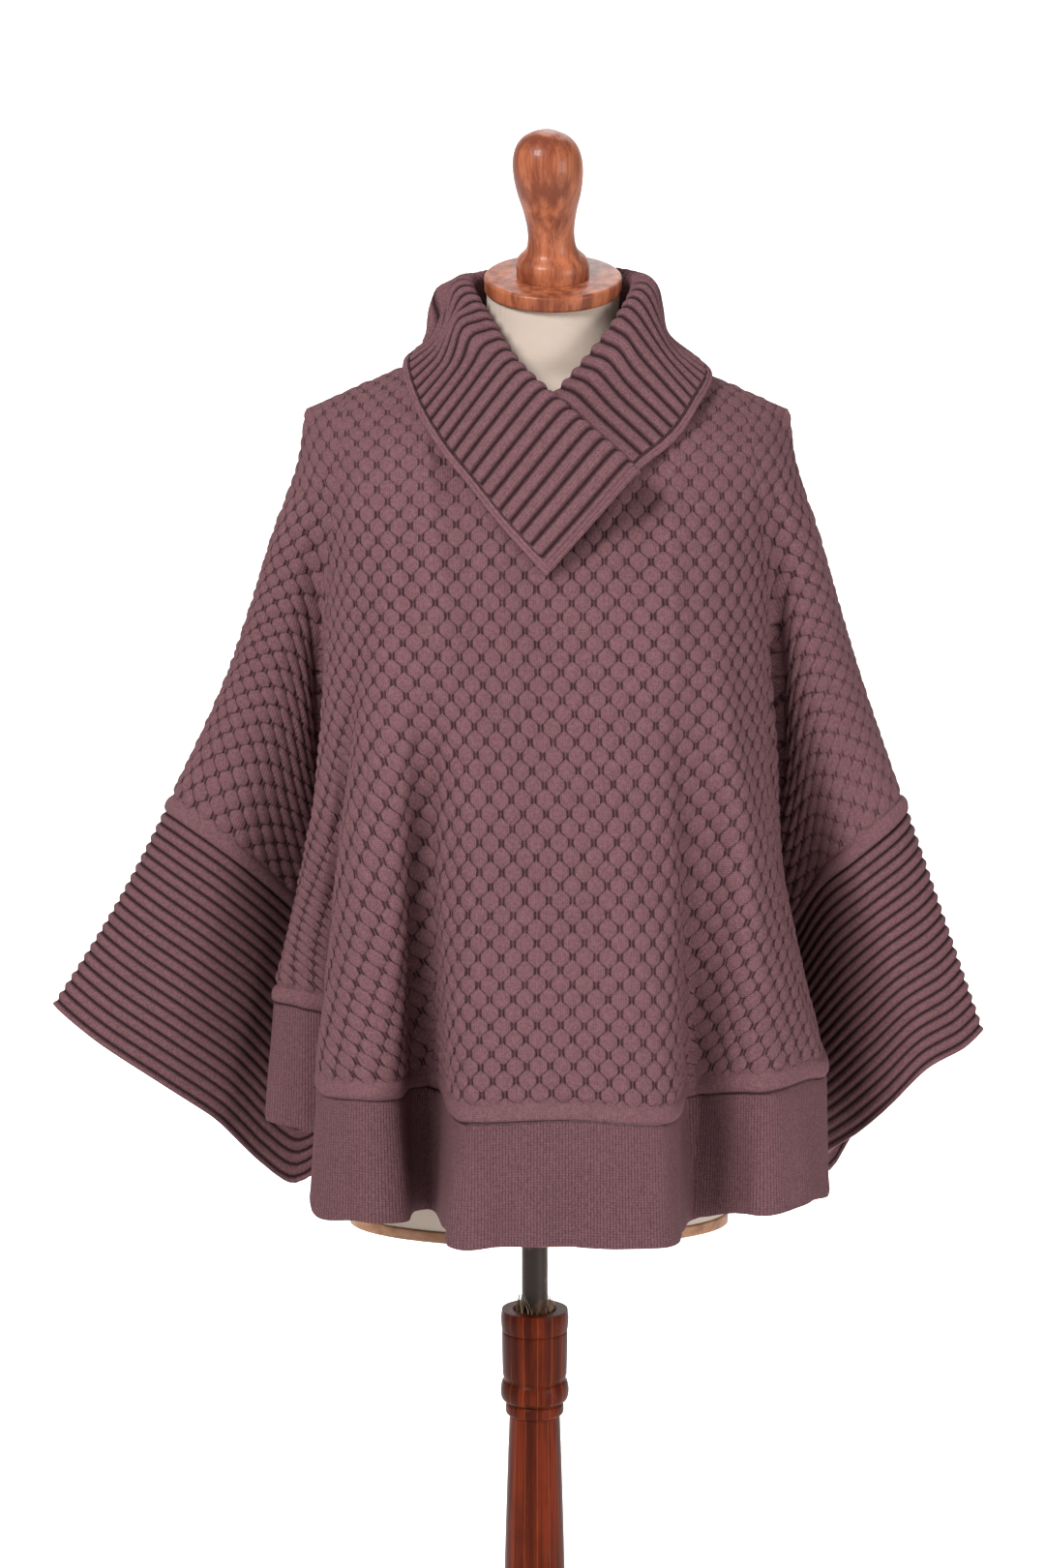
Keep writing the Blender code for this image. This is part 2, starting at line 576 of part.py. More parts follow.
def mouthPoint(table, way, front):
    """A point of a cuff's mouth, on a smooth closed curve through both halves of its table."""
    ahead = [Vector(row[1:4]) * MM for row in table]
    behind = [Vector((row[1], row[4], row[5])) * MM for row in table[1:-1]]
    loop = ahead + behind[::-1]
    loop = [loop[-1]] + loop + loop[:2]
    shares = [row[0] for row in table]
    k = max(i for i in range(len(shares) - 1) if shares[i] <= way or i == 0)
    place = k + (way - shares[k]) / (shares[k + 1] - shares[k])
    return through(loop, 1 + (place if front else 2 * (len(table) - 1) - place))


def makeCuff(name, arm, front_half, back_half):
    """A ribbed tube: its seam follows both panels, its mouth hangs open."""
    loop = joinedHalves(front_half, back_half)
    rows_count = CUFF_RIBS * 2 + 1
    columns = []
    for i, (point, _, way, front) in enumerate(loop):
        end = mouthPoint(CUFF_MOUTHS[arm], way, front)
        tangent = loop[(i + 1) % len(loop)][0] - loop[i - 1][0]
        start = point + awayFrom(tangent, end - point) * CUFF_SEAM_GAP
        # under the arm the tube stands clear of the side seam
        near = max(0.0, way - CUFF_UNDERARM) / (1 - CUFF_UNDERARM)
        start += Vector((math.copysign(near ** 2, point.x), 0, -near)) * CUFF_SIDE_GAP
        inward = Vector((-math.copysign(1 - way, point.x), 0, 0)) * CUFF_HOLLOWS[arm]
        columns.append([start.lerp(end, j / rows_count)
                        + inward * math.sin(math.pi * j / rows_count)
                        for j in range(rows_count + 1)])
    rows = [list(row) for row in zip(*columns)]
    normals = gridNormals(rows, wrap=True)
    normals[0] = [item[1] if item[2] < CUFF_UNDERARM + 0.1 else own
                  for item, own in zip(loop, normals[0])]

    def relief(j, i):
        return RIB_RELIEF if j % 2 else 0.0

    plain_rows = [round(rows_count * k / CUFF_LINING_ROWS) for k in range(CUFF_LINING_ROWS + 1)]
    return wall(name, rows, normals, "rib_knit", wrap=True, relief=relief,
                inside_rows=plain_rows)


def joinedHalves(first, second):
    """A closed loop of seam points, with one point where the two halves meet."""
    loop = []
    for half, following in ((first, second), (second, first)):
        loop.extend(half[1:-1])
        a, b = half[-1], following[0]
        loop.append(((a[0] + b[0]) / 2, (a[1] + b[1]) / 2, a[2], a[3]))
    return loop


def cuffHalf(panel, low, high, front, outer_first):
    """Seam points of half a cuff, each with its share of the way from outer to inner end."""
    picked = panel.columns(low, high)
    seam = [panel.points[-1][i] for i in picked]
    lengths = [0.0]
    for a, b in zip(seam, seam[1:]):
        lengths.append(lengths[-1] + (b - a).length)
    half = []
    for i, length in zip(picked, lengths):
        way = length / lengths[-1]
        way = way if outer_first else 1 - way
        half.append((panel.points[-1][i], panel.normals[-1][i], way, front))
    return half


# The collar ---------------------------------------------------------------------------------

def necklineRun(front, back):
    """Outer and inner points of the panels' neck edge, from the V's foot round to it again."""
    left = front.columns("right_neck_point", "centre")
    right = front.columns("centre", "left_neck_point")
    behind = back.columns("left_neck_point", "right_neck_point")
    run = []
    for panel, picked in ((front, left), (back, behind), (front, right)):
        for i in reversed(picked):
            point = panel.points[0][i]
            run.append((point, point - panel.normals[0][i] * CLOTH))
    return run


def runLengths(run):
    lengths = [0.0]
    for a, b in zip(run, run[1:]):
        lengths.append(lengths[-1] + (b[0] - a[0]).length)
    return lengths


def along(run, lengths, goal):
    """Outer and inner point at a distance along the neckline."""
    goal = min(max(goal, 0.0), lengths[-1])
    k = max(i for i in range(len(run) - 1) if lengths[i] <= goal or i == 0)
    f = (goal - lengths[k]) / max(1e-9, lengths[k + 1] - lengths[k])
    return run[k][0].lerp(run[k + 1][0], f), run[k][1].lerp(run[k + 1][1], f)


def atShare(run, lengths, share):
    """Outer point, inner point and the neckline's direction at a share of its length."""
    goal = share * lengths[-1]
    outer, inner = along(run, lengths, goal)
    ahead, before = (along(run, lengths, goal + step)[0]
                     for step in (COLLAR_WINDOW, -COLLAR_WINDOW))
    return outer, inner, ahead - before


def collarSection(place, u):
    """Right-side points across the strip, from the neck seam over the roll to the outer edge."""
    rows = COLLAR_SECTIONS
    rolls = [Vector(row[2:5]) * MM for row in rows]
    edges = [Vector(row[5:8]) * MM for row in rows]
    sizes = [Vector((row[8], row[9], 0)) * MM for row in rows]
    roll, edge, size = through(rolls, u), through(edges, u), through(sizes, u)
    outer, inner, tangent = place
    start = inner + awayFrom(tangent, roll - outer, outer - inner) * COLLAR_SEAM_GAP
    onward = through(rolls, min(u + 0.1, len(rows) - 1)) - through(rolls, max(u - 0.1, 0))
    crown = (roll - (start + edge) / 2).normalized()
    away = awayFrom(crown, edge - start, onward)
    radius, bulge = size.x, size.y
    return [
        start,
        start.lerp(roll, 0.5) - away * radius * 0.9,
        roll - crown * radius * 1.1 - away * radius,
        roll,
        roll - crown * radius * 1.1 + away * radius,
        roll.lerp(edge, 0.55) + away * (bulge + radius * 0.35),
        edge,
    ]


def evenColumns(count):
    """Places along COLLAR_SECTIONS an even distance apart, measured on the roll and the edge."""
    rolls = [Vector(row[2:5]) * MM for row in COLLAR_SECTIONS]
    edges = [Vector(row[5:8]) * MM for row in COLLAR_SECTIONS]
    last, fineness = len(rolls) - 1, 400
    fine = [through(rolls, last * k / fineness) + through(edges, last * k / fineness)
            for k in range(fineness + 1)]
    lengths = [0.0]
    for a, b in zip(fine, fine[1:]):
        lengths.append(lengths[-1] + (b - a).length)
    places = []
    for i in range(count + 1):
        goal = lengths[-1] * i / count
        k = max(j for j in range(fineness) if lengths[j] <= goal)
        places.append(last * (k + (goal - lengths[k]) / (lengths[k + 1] - lengths[k])) / fineness)
    return places


def makeCollar(name, front, back):
    run = necklineRun(front, back)
    lengths = runLengths(run)
    us = evenColumns(COLLAR_RIBS * 2)
    seams = [Vector((row[1], 0, 0)) for row in COLLAR_SECTIONS]
    shares = [through(seams, u).x for u in us]
    # a column stands on each neck point, where the neckline turns
    neck_points = [k for k in range(1, len(run) - 1) if abs(run[k][0].y) < SEAM_GAP]
    for k in neck_points:
        share = lengths[k] / lengths[-1]
        nearest = min(range(len(shares)), key=lambda i: abs(shares[i] - share))
        shares[nearest] = share
    places = [atShare(run, lengths, share) for share in shares]
    columns = [[through(collarSection(place, u), step) for step in COLLAR_STEPS]
               for place, u in zip(places, us)]
    rows = [[column[j] for column in columns] for j in range(len(COLLAR_STEPS))]
    cloth = [(p, n) for panel in (front, back)
             for line, line_normals in list(zip(panel.points, panel.normals))[:COLLAR_CLEARED_ROWS]
             for p, n in zip(line, line_normals)]
    for j, step in enumerate(COLLAR_STEPS):
        if step > COLLAR_FLAP_STEP:
            rows[j] = [liftedOff(point, cloth) for point in rows[j]]
    normals = [[-n for n in line] for line in gridNormals(rows)]
    normals[0] = [(inner - outer) / CLOTH for outer, inner, tangent in places]

    def relief(j, i):
        return RIB_RELIEF if i % 2 and 0 < COLLAR_STEPS[j] < COLLAR_EDGING else 0.0

    return wallTurned(name, rows, normals, "rib_knit", relief)


def liftedOff(point, cloth):
    """The point, moved out where its wall would lie in the panel under it."""
    under, normal = min(cloth, key=lambda pair: (pair[0] - point).length_squared)
    height = (point - under).dot(normal)
    return point + normal * max(0.0, CLOTH + COLLAR_CLEARANCE - height)


def wallTurned(name, points, normals, slot, relief):
    """As wall(), for a grid whose normals point the other way; ribs stand on odd columns."""
    points = [list(reversed(row)) for row in points]
    normals = [list(reversed(row)) for row in normals]
    last = len(points[0]) - 1
    return wall(name, points, normals, slot, relief=lambda j, i: relief(j, last - i),
                inside_columns=list(range(0, last + 1, 2)))


# Dress form and stand -----------------------------------------------------------------------

def loft(name, rings, slot):
    """A closed solid through rings of points, lowest first, each counter-clockwise from above."""
    count = len(rings[0])
    verts = [p for ring in rings for p in ring]
    faces = []
    for j in range(len(rings) - 1):
        for i in range(count):
            a, b = j * count + i, j * count + (i + 1) % count
            faces.append((a, b, b + count, a + count))
    faces.append(tuple(reversed(range(count))))
    faces.append(tuple(range((len(rings) - 1) * count, len(rings) * count)))
    return addObject(name, verts, faces, slot)


def ellipseRing(middle, half, front, back, tilt, count):
    ring = []
    for k in range(count):
        angle = 2 * math.pi * k / count
        y = math.sin(angle)
        offset = Vector((half * math.cos(angle), (back if y > 0 else front) * y, 0))
        ring.append(middle + Matrix.Rotation(tilt, 3, "X") @ offset)
    return ring


def makeTorso():
    low, high = FORM_SECTIONS[0][0] * MM, FORM_SECTIONS[-1][0] * MM
    rings = []
    for z, half, front, back, tilt in FORM_SECTIONS:
        share = (z * MM - low) / (high - low)
        middle = Vector((FORM_MIDDLE_X + FORM_LEAN * share, 0, z * MM))
        rings.append(ellipseRing(middle, half * MM, front * MM, back * MM,
                                 math.radians(tilt), FORM_SIDES))
    return loft("torso", rings, "canvas")


def makeBoard():
    middle = Vector((FORM_MIDDLE_X, 0, BOARD_Z))
    corner = BOARD_ROUNDING
    rings = []
    for lift, inset in ((0, corner), (corner, 0), (BOARD_HEIGHT - corner, 0),
                        (BOARD_HEIGHT, corner)):
        half, depth = BOARD_HALF_WIDTH - inset, BOARD_HALF_DEPTH - inset
        rings.append(ellipseRing(middle + Vector((0, 0, lift)), half, depth, depth, 0,
                                 BOARD_SIDES))
    return loft("base_board", rings, "plywood")


def turned(name, profile, slot, sides=TURNED_SIDES, bore=None):
    """A turned piece round its own Z axis, radius and height in metres, from the bottom up."""
    rings = []
    for radius, z in profile + (bore or ()):
        rings.append([Vector((radius * math.cos(2 * math.pi * k / sides),
                              radius * math.sin(2 * math.pi * k / sides), z))
                      for k in range(sides)])
    return loft(name, rings, slot)


def scaled(rows):
    return tuple((radius * MM, z * MM) for radius, z in rows)


def makeNeck():
    neck = Vector((FORM_MIDDLE_X + FORM_LEAN, 0, FORM_SECTIONS[-1][0] * MM))
    tilt = Matrix.Rotation(NECK_TILT, 4, "X")
    radius, height, corner = CAP_RADIUS, CAP_HEIGHT, CAP_ROUNDING
    cap = turned("neck_cap", (
        (radius - corner, SEAM_GAP), (radius, SEAM_GAP + corner), (radius, height - corner),
        (radius - corner * 0.3, height - corner * 0.3), (radius - corner, height)),
        "turned_wood", sides=CAP_SIDES)
    knob = turned("neck_knob", scaled(KNOB_PROFILE), "turned_wood")
    for piece, lift in ((cap, 0.0), (knob, height)):
        piece.matrix_world = Matrix.Translation(neck) @ tilt @ Matrix.Translation((0, 0, lift))
    for corner in knob.data.vertices:
        corner.co.x += KNOB_LEAN * corner.co.z


def makeStand():
    pole_foot = POST_TOP - RECESS_DEPTH - POLE_DEPTH
    turned("pole", ((POLE_RADIUS, pole_foot + SEAM_GAP), (POLE_RADIUS, BOARD_Z - SEAM_GAP)),
           "dark_steel")
    recess_floor, bore_radius = POST_TOP - RECESS_DEPTH, POLE_RADIUS + BORE_CLEARANCE
    turned("post", scaled(POST_PROFILE), "stained_wood", bore=(
        (RECESS_RADIUS + RECESS_CHAMFER, POST_TOP), (RECESS_RADIUS, POST_TOP - RECESS_CHAMFER),
        (RECESS_RADIUS, recess_floor), (bore_radius, recess_floor), (bore_radius, pole_foot)))
    turned("foot", scaled(FOOT_PROFILE), "stained_wood", sides=FOOT_SIDES)


def main():
    clearScene()
    front = Panel(FRONT_WALES, -1)
    back = Panel(BACK_WALES, 1)
    makePanel("front_panel", front)
    makePanel("back_panel", back)
    makeBand("front_hem_band", front, "right_corner", "left_corner")
    makeBand("back_hem_band", back, "left_corner", "right_corner")
    right_loop = (cuffHalf(front, "right_sleeve_edge", "right_underarm", True, True),
                  cuffHalf(back, "right_underarm", "right_sleeve_edge", False, False))
    left_loop = (cuffHalf(front, "left_underarm", "left_sleeve_edge", True, False),
                 cuffHalf(back, "left_sleeve_edge", "left_underarm", False, True))
    makeCuff("right_cuff", "right", *right_loop)
    makeCuff("left_cuff", "left", *left_loop)
    makeCollar("collar", front, back)
    makeTorso()
    makeBoard()
    makeNeck()
    makeStand()


main()
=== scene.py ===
import math
import random

import bpy
import numpy as np
from mathutils import Matrix, Vector, kdtree


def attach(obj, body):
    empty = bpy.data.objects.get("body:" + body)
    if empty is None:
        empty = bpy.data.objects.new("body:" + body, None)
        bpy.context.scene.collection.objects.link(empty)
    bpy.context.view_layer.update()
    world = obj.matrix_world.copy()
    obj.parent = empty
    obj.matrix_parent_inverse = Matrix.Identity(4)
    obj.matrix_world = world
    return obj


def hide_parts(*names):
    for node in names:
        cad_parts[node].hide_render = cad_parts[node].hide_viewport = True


# Knitted poncho sweater on a dress form. The wearer faces -Y. Metres, with tables in mm.

print("loading the frame")
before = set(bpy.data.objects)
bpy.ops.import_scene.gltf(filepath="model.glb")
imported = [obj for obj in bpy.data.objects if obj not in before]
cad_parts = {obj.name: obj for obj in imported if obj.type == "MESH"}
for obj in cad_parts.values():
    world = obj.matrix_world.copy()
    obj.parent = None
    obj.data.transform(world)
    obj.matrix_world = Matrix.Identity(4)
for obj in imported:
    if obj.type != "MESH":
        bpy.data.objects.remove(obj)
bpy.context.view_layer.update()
mm = 0.001

view = {"place": (-0.0101, -3.234, 1.5105), "pitch": 80.5, "lens": 93.33, "sensor": 36}
studio = {
    "surround": 0.35,
    "lamps": (
        # name, place, size, power, target
        ("key", (-1.5, -2.2, 3.0), 1.1, 119, (0, 0, 1)),
        ("fill", (2.3, -1.9, 1.1), 1.2, 42, (0, 0, 1)),
        ("rim", (0.5, 1.6, 2.9), 1.4, 14, (0, 0, 1)),
        ("backdrop", (0, 2.4, 4.4), 3.4, 580, (0, 6.5, 1.2)),
    ),
    "floorHalf": 10.0, "bendStart": 5.6, "bendRadius": 2.9, "bendSteps": 25, "wallTop": 9.0,
}


def addObject(name, data, place=(0, 0, 0), turn=(0, 0, 0)):
    made = bpy.data.objects.new(name, data)
    made.location, made.rotation_euler = place, turn
    bpy.context.scene.collection.objects.link(made)
    return made


def addMesh(name, points, faces, uvs=None, smoothAngle=60):
    mesh = bpy.data.meshes.new(name)
    mesh.from_pydata(np.asarray(points).tolist(), [], faces)
    if uvs is not None:
        layer = mesh.uv_layers.new(name="cloth")
        layer.data.foreach_set("uv", np.asarray(uvs, np.float32).ravel())
    mesh.shade_smooth()
    mesh.set_sharp_from_angle(angle=math.radians(smoothAngle))
    return addObject(name, mesh)


def makeCamera():
    data = bpy.data.cameras.new("camera")
    data.lens, data.sensor_width = view["lens"], view["sensor"]
    turn = (math.radians(view["pitch"]), 0, 0)
    bpy.context.scene.camera = addObject("camera", data, view["place"], turn)


def makeStudio():
    scene = bpy.context.scene
    scene.view_settings.view_transform = "Standard"
    scene.world = bpy.data.worlds.new("surround")
    scene.world.use_nodes = True
    background = scene.world.node_tree.nodes["Background"]
    background.inputs["Color"].default_value = (1, 1, 1, 1)
    background.inputs["Strength"].default_value = studio["surround"]
    for name, place, size, power, target in studio["lamps"]:
        data = bpy.data.lights.new(name, "AREA")
        data.size, data.energy = size, power
        aim = Vector(target) - Vector(place)
        addObject(name, data, place, aim.to_track_quat("-Z", "Y").to_euler())
    # the floor runs up into a wall behind
    half, start, radius = studio["floorHalf"], studio["bendStart"], studio["bendRadius"]
    bend = [(start + radius * math.sin(a), radius * (1 - math.cos(a)))
            for a in np.linspace(0, math.pi / 2, studio["bendSteps"])]
    profile = [(-half, 0), *bend, (start + radius, studio["wallTop"])]
    points = [(x, y, z) for y, z in profile for x in (-half, half)]
    faces = [(k, k + 1, k + 3, k + 2) for k in range(0, 2 * len(profile) - 2, 2)]
    floor = addMesh("floor", points, faces)
    shader = Shader("pale_floor")
    pale = shader.mix(shader.noise(2.0) * 0.3, (0.97, 0.97, 0.97), (0.93, 0.93, 0.93))
    floor.data.materials.append(shader.surface(pale, 0.8))


class Wire:
    # a socket with arithmetic, each operation adding a Math node
    def __init__(self, shader, socket):
        self.shader, self.socket = shader, socket

    def math(self, operation, *others):
        return self.shader.node("Math", {"operation": operation},
                                dict(enumerate((self,) + others)))

    def __rsub__(self, other):
        return self * -1.0 + other

    def wave(self):
        return (self * (2 * math.pi)).math("SINE")

    def rise(self, low, high):
        # 0 up to low and 1 from high on, or falling where low is the higher one
        if low > high:
            return 1.0 - self.rise(high, low)
        return self.shader.node("MapRange", {"interpolation_type": "SMOOTHSTEP"},
                                {"Value": self, "From Min": low, "From Max": high})


for method, operation in {
        "__add__": "ADD", "__radd__": "ADD", "__sub__": "SUBTRACT", "__mul__": "MULTIPLY",
        "__rmul__": "MULTIPLY", "__truediv__": "DIVIDE", "most": "MAXIMUM", "least": "MINIMUM",
        "power": "POWER", "abs": "ABSOLUTE", "floor": "FLOOR", "fract": "FRACT"}.items():
    setattr(Wire, method, lambda self, *others, operation=operation:
            self.math(operation, *others))


class Shader:
    def __init__(self, name):
        self.material = bpy.data.materials.new(name)
        self.material.use_nodes = True
        self.tree = self.material.node_tree

    def plug(self, socket, value):
        if isinstance(value, Wire):
            self.tree.links.new(value.socket, socket)
        elif socket.type == "RGBA":
            socket.default_value = (*value, 1)
        else:
            socket.default_value = value

    def node(self, kind, settings=None, inputs=None, output=0):
        made = self.tree.nodes.new("ShaderNode" + kind)
        for name, value in (settings or {}).items():
            setattr(made, name, value)
        for name, value in (inputs or {}).items():
            self.plug(made.inputs[name], value)
        return Wire(self, made.outputs[output])

    def split(self, vector):
        made = self.node("SeparateXYZ", {}, {0: vector})
        return [Wire(self, socket) for socket in made.socket.node.outputs]

    def cloth(self):
        # the two distances on the cloth: along the row, and along the wale
        return self.split(self.node("UVMap", {"uv_map": "cloth"}))[:2]

    def place(self):
        return self.node("TexCoord", output="Object")

    def axes(self):
        return self.split(self.place())

    def vector(self, x, y, z):
        return self.node("CombineXYZ", {}, {"X": x, "Y": y, "Z": z})

    def noise(self, scale, detail=3.0, at=None, roughness=0.5):
        return self.node("TexNoise", {}, {"Scale": scale, "Detail": detail,
                                          "Roughness": roughness, "Vector": at or self.place()})

    def mix(self, share, first, second):
        return self.node("Mix", {"data_type": "RGBA"}, {0: share, 6: first, 7: second}, 2)

    def shade(self, colour, amount):
        return self.node("VectorMath", {"operation": "SCALE"}, {0: colour, 3: amount})

    def surface(self, colour, roughness, height=None, metallic=0.0, coat=0.0, gloss=0.5):
        plugs = {"Base Color": colour, "Roughness": roughness, "Metallic": metallic,
                 "Coat Weight": coat, "Specular IOR Level": gloss}
        if height is not None:
            plugs["Normal"] = self.node("Bump", {}, {
                "Strength": 1.0, "Distance": 1.0, "Height": height})
        for name, value in plugs.items():
            self.plug(self.tree.nodes["Principled BSDF"].inputs[name], value)
        return self.material


def unit(a):
    return a / np.maximum(np.linalg.norm(a, axis=-1, keepdims=True), 1e-12)


def dot(a, b):
    return np.sum(a * b, axis=-1, keepdims=True)


def smooth(value, low, high):
    f = np.clip((value - low) / (high - low), 0, 1)
    return f * f * (3 - 2 * f)


def through(points, u, corners=()):
    # smooth curve through the points, one whole step of u for each, sharp at the corners
    points = np.asarray(points, float)
    last = len(points) - 1
    i = np.clip(np.floor(u).astype(int), 0, last - 1)
    wide = (-1,) + (1,) * (points.ndim - 1)
    f = (u - i).reshape(wide)
    p1, p2 = points[i], points[i + 1]
    startsHere = ((i == 0) | np.isin(i, corners)).reshape(wide)
    endsHere = ((i + 2 > last) | np.isin(i + 1, corners)).reshape(wide)
    p0 = np.where(startsHere, 2 * p1 - p2, points[np.maximum(i - 1, 0)])
    p3 = np.where(endsHere, 2 * p2 - p1, points[np.minimum(i + 2, last)])
    return (2 * p1 + (p2 - p0) * f + (2 * p0 - 5 * p1 + 4 * p2 - p3) * f ** 2
            + (3 * p1 - p0 - 3 * p2 + p3) * f ** 3) / 2


def hermite(stations, levels, t, firstSlope):
    # smooth curves through stations at uneven levels, a row for each t
    spans = np.diff(levels)
    parts = [(b - a) / span for a, b, span in zip(stations, stations[1:], spans)]
    slopes = [firstSlope]
    for i in range(1, len(spans)):
        share = spans[i - 1] / (spans[i - 1] + spans[i])
        slopes.append(parts[i - 1] * (1 - share) + parts[i] * share)
    slopes.append(parts[-1])
    rows = []
    for value in t:
        k = min(np.searchsorted(levels, value, side="right"), len(spans)) - 1
        f = (value - levels[k]) / spans[k]
        a = 2 * f ** 3 - 3 * f ** 2 + 1
        b = f ** 3 - 2 * f ** 2 + f
        rows.append(stations[k] * a + slopes[k] * (b * spans[k]) + stations[k + 1] * (1 - a)
                    + slopes[k + 1] * ((f ** 3 - f ** 2) * spans[k]))
    return np.array(rows)


def gridNormals(points, wrap=False):
    # columns run round the body, rows run down
    closed = np.concatenate([points, points[:, :1]], axis=1) if wrap else points
    facing = unit(np.cross(closed[1:, 1:] - closed[:-1, :-1], closed[:-1, 1:] - closed[1:, :-1]))
    total = np.zeros_like(closed)
    for rows in (slice(0, -1), slice(1, None)):
        for columns in (slice(0, -1), slice(1, None)):
            total[rows, columns] += facing
    if wrap:
        total[:, 0] += total[:, -1]
        total = total[:, :-1]
    return unit(total)


def awayFrom(tangent, heading, normal=None):
    # nearest to the heading among the directions square to the tangent, and to the normal
    if normal is not None:
        away = unit(np.cross(tangent, normal))
        return away * np.where(dot(away, heading) < 0, -1.0, 1.0)
    along = unit(tangent)
    return unit(heading - along * dot(heading, along))


def lengthsOf(points):
    return np.concatenate([[0.0], np.cumsum(np.linalg.norm(np.diff(points, axis=0), axis=1))])


def summed(steps):
    return np.hstack([np.zeros((len(steps), 1)), np.cumsum(steps, axis=1)])


def fromEnds(count):
    return np.minimum(np.arange(count), np.arange(count)[::-1])


def blurred(field, times):
    for axis in (0, 1):
        field = np.moveaxis(field, axis, 0)
        for _ in range(times):
            padded = np.concatenate([field[:1], field, field[-1:]])
            field = (padded[:-2] + field * 2 + padded[2:]) / 4
        field = np.moveaxis(field, 0, axis)
    return field


def shell(name, outer, inner, fields, coarse, pick=None, wrap=False, flip=False):
    # closed wall: a fine outside, a sparser inside and a rim. A field holds each point's two
    # distances on the cloth, and pick says which field a column of faces takes
    rows, cols = outer.shape[:2]
    place = np.arange(rows * cols).reshape(rows, cols)
    if wrap:
        place = np.concatenate([place, place[:, :1]], axis=1)
    spans = np.arange(place.shape[1] - 1)
    pick = np.zeros(len(spans), int) if pick is None else pick
    fields = np.array(fields)
    down = np.arange(rows - 1)[:, None]
    steps = ((0, 0), (1, 0), (1, 1), (0, 1))
    faces = np.stack([place[down + j, spans + i] for j, i in steps], axis=-1).reshape(-1, 4)
    uvs = np.stack([fields[pick, down + j, spans + i] for j, i in steps], axis=2)
    if flip:
        faces, uvs = faces[:, ::-1], uvs[:, :, ::-1]
    faces, corners = faces.tolist(), [uvs.reshape(-1, 2)]
    keptRows = sorted({*range(0, rows, coarse[0]), rows - 1})
    keptCols = sorted({*range(0, cols, coarse[1])} | (set() if wrap else {cols - 1}))
    behind = {(j, i): rows * cols + a * len(keptCols) + b
              for a, j in enumerate(keptRows) for b, i in enumerate(keptCols)}

    def add(edge, back, turn=1):
        # a face along fine points of the outside, then points of the inside
        edge, back = edge[::turn], back[::turn]
        face = [place[p] for p in edge] + [behind[j, k % cols] for j, k in back]
        around = [fields[0, j, i] for j, i in edge + back]
        faces.append(face[::-1] if flip else face)
        corners.append(np.array(around[::-1] if flip else around))

    lanes = list(zip(keptCols, keptCols[1:] + ([cols] if wrap else [])))
    levels = list(zip(keptRows, keptRows[1:]))
    for j, below in levels:
        for i, following in lanes:
            add([], [(j, following), (below, following), (below, i), (j, i)])
    for j, turn in ((0, 1), (rows - 1, -1)):
        for i, following in lanes:
            add([(j, k) for k in range(i, following + 1)], [(j, following), (j, i)], turn)
    if not wrap:
        for i, turn in ((0, -1), (cols - 1, 1)):
            for j, below in levels:
                add([(k, i) for k in range(j, below + 1)], [(below, i), (j, i)], turn)
    inside = inner[np.ix_(keptRows, keptCols)].reshape(-1, 3)
    points = np.concatenate([outer.reshape(-1, 3), inside])
    return addMesh(name, points, faces, np.concatenate(corners))


knit = {
    "wall": 3.0 * mm, "seamGap": 0.3 * mm, "wander": 1.3 * mm,
    # bubbles: from one to the next, from row to row, centre to foot, height
    "bubblePitch": 18.0 * mm, "rowPitch": 10.5 * mm, "bubbleReach": 8.3 * mm,
    "bubbleHeight": 2.9 * mm, "uneven": 0.10,
    # stretched cloth has flatter bubbles with fainter painted shade: over the shoulders by z, on
    # the left sleeve by x
    "shoulderFlat": 0.40, "shoulderSpan": (1.17, 1.27),
    "sleeveFlat": 0.45, "sleeveSpan": (0.195, 0.245),
    # plain strip over the bottom seams
    "strip": 14.0 * mm, "stripPuff": 3.0 * mm, "stripUneven": 0.22,
    "groove": 1.0 * mm, "grooveWidth": 1.8 * mm,
    "stitch": 1.9 * mm, "plainStitch": 2.4 * mm, "ribPitch": 10.0 * mm,
    # yarn colours, and the near-black colours of the painted shade in creases, pits and grooves
    "bubbleYarn": (0.186, 0.090, 0.100), "plainYarn": (0.160, 0.077, 0.086),
    "ribYarn": (0.168, 0.081, 0.090), "shadow": (0.016, 0.005, 0.008),
    "ribShadow": (0.012, 0.004, 0.006),
}


def bubbles(field):
    # 1 on a bubble's crown, 0 at its foot. Every other row is shifted by half a bubble
    s, v = field[..., 0], field[..., 1]
    crown = np.zeros(s.shape)
    for step in (0, 1):
        row = np.floor(v / knit["rowPitch"]) + step
        place = s / knit["bubblePitch"] - 0.5 * (row % 2)
        across = (place - np.round(place)) * knit["bubblePitch"]
        up = v - row * knit["rowPitch"]
        uneven = 1 + knit["uneven"] * np.sin(row * 12.9 + np.round(place) * 78.2)
        near = 1 - (across ** 2 + up ** 2) / knit["bubbleReach"] ** 2
        crown = np.maximum(crown, near * uneven)
    return np.clip(crown, 0, 1.2)


def wandered(s, v):
    # hand of the knitter: rows and wales wander a little
    return np.stack([s + knit["wander"] * np.sin(v / 0.041 + 1.3 * np.sin(s / 0.097)),
                     v + knit["wander"] * np.sin(s / 0.053 + 1.7 * np.sin(v / 0.113))], axis=-1)


def stitches(s, v, width):
    # small V shapes in columns, 0 to 1
    across = (s / width).fract() - 0.5
    lift = (v / (width * 0.85) + across.abs() * 1.1).fract() - 0.5
    column = 1.0 - (across.abs() * 2.0).power(3.0)
    return (1.0 - (lift.abs() * 2.0).power(2.0)) * column


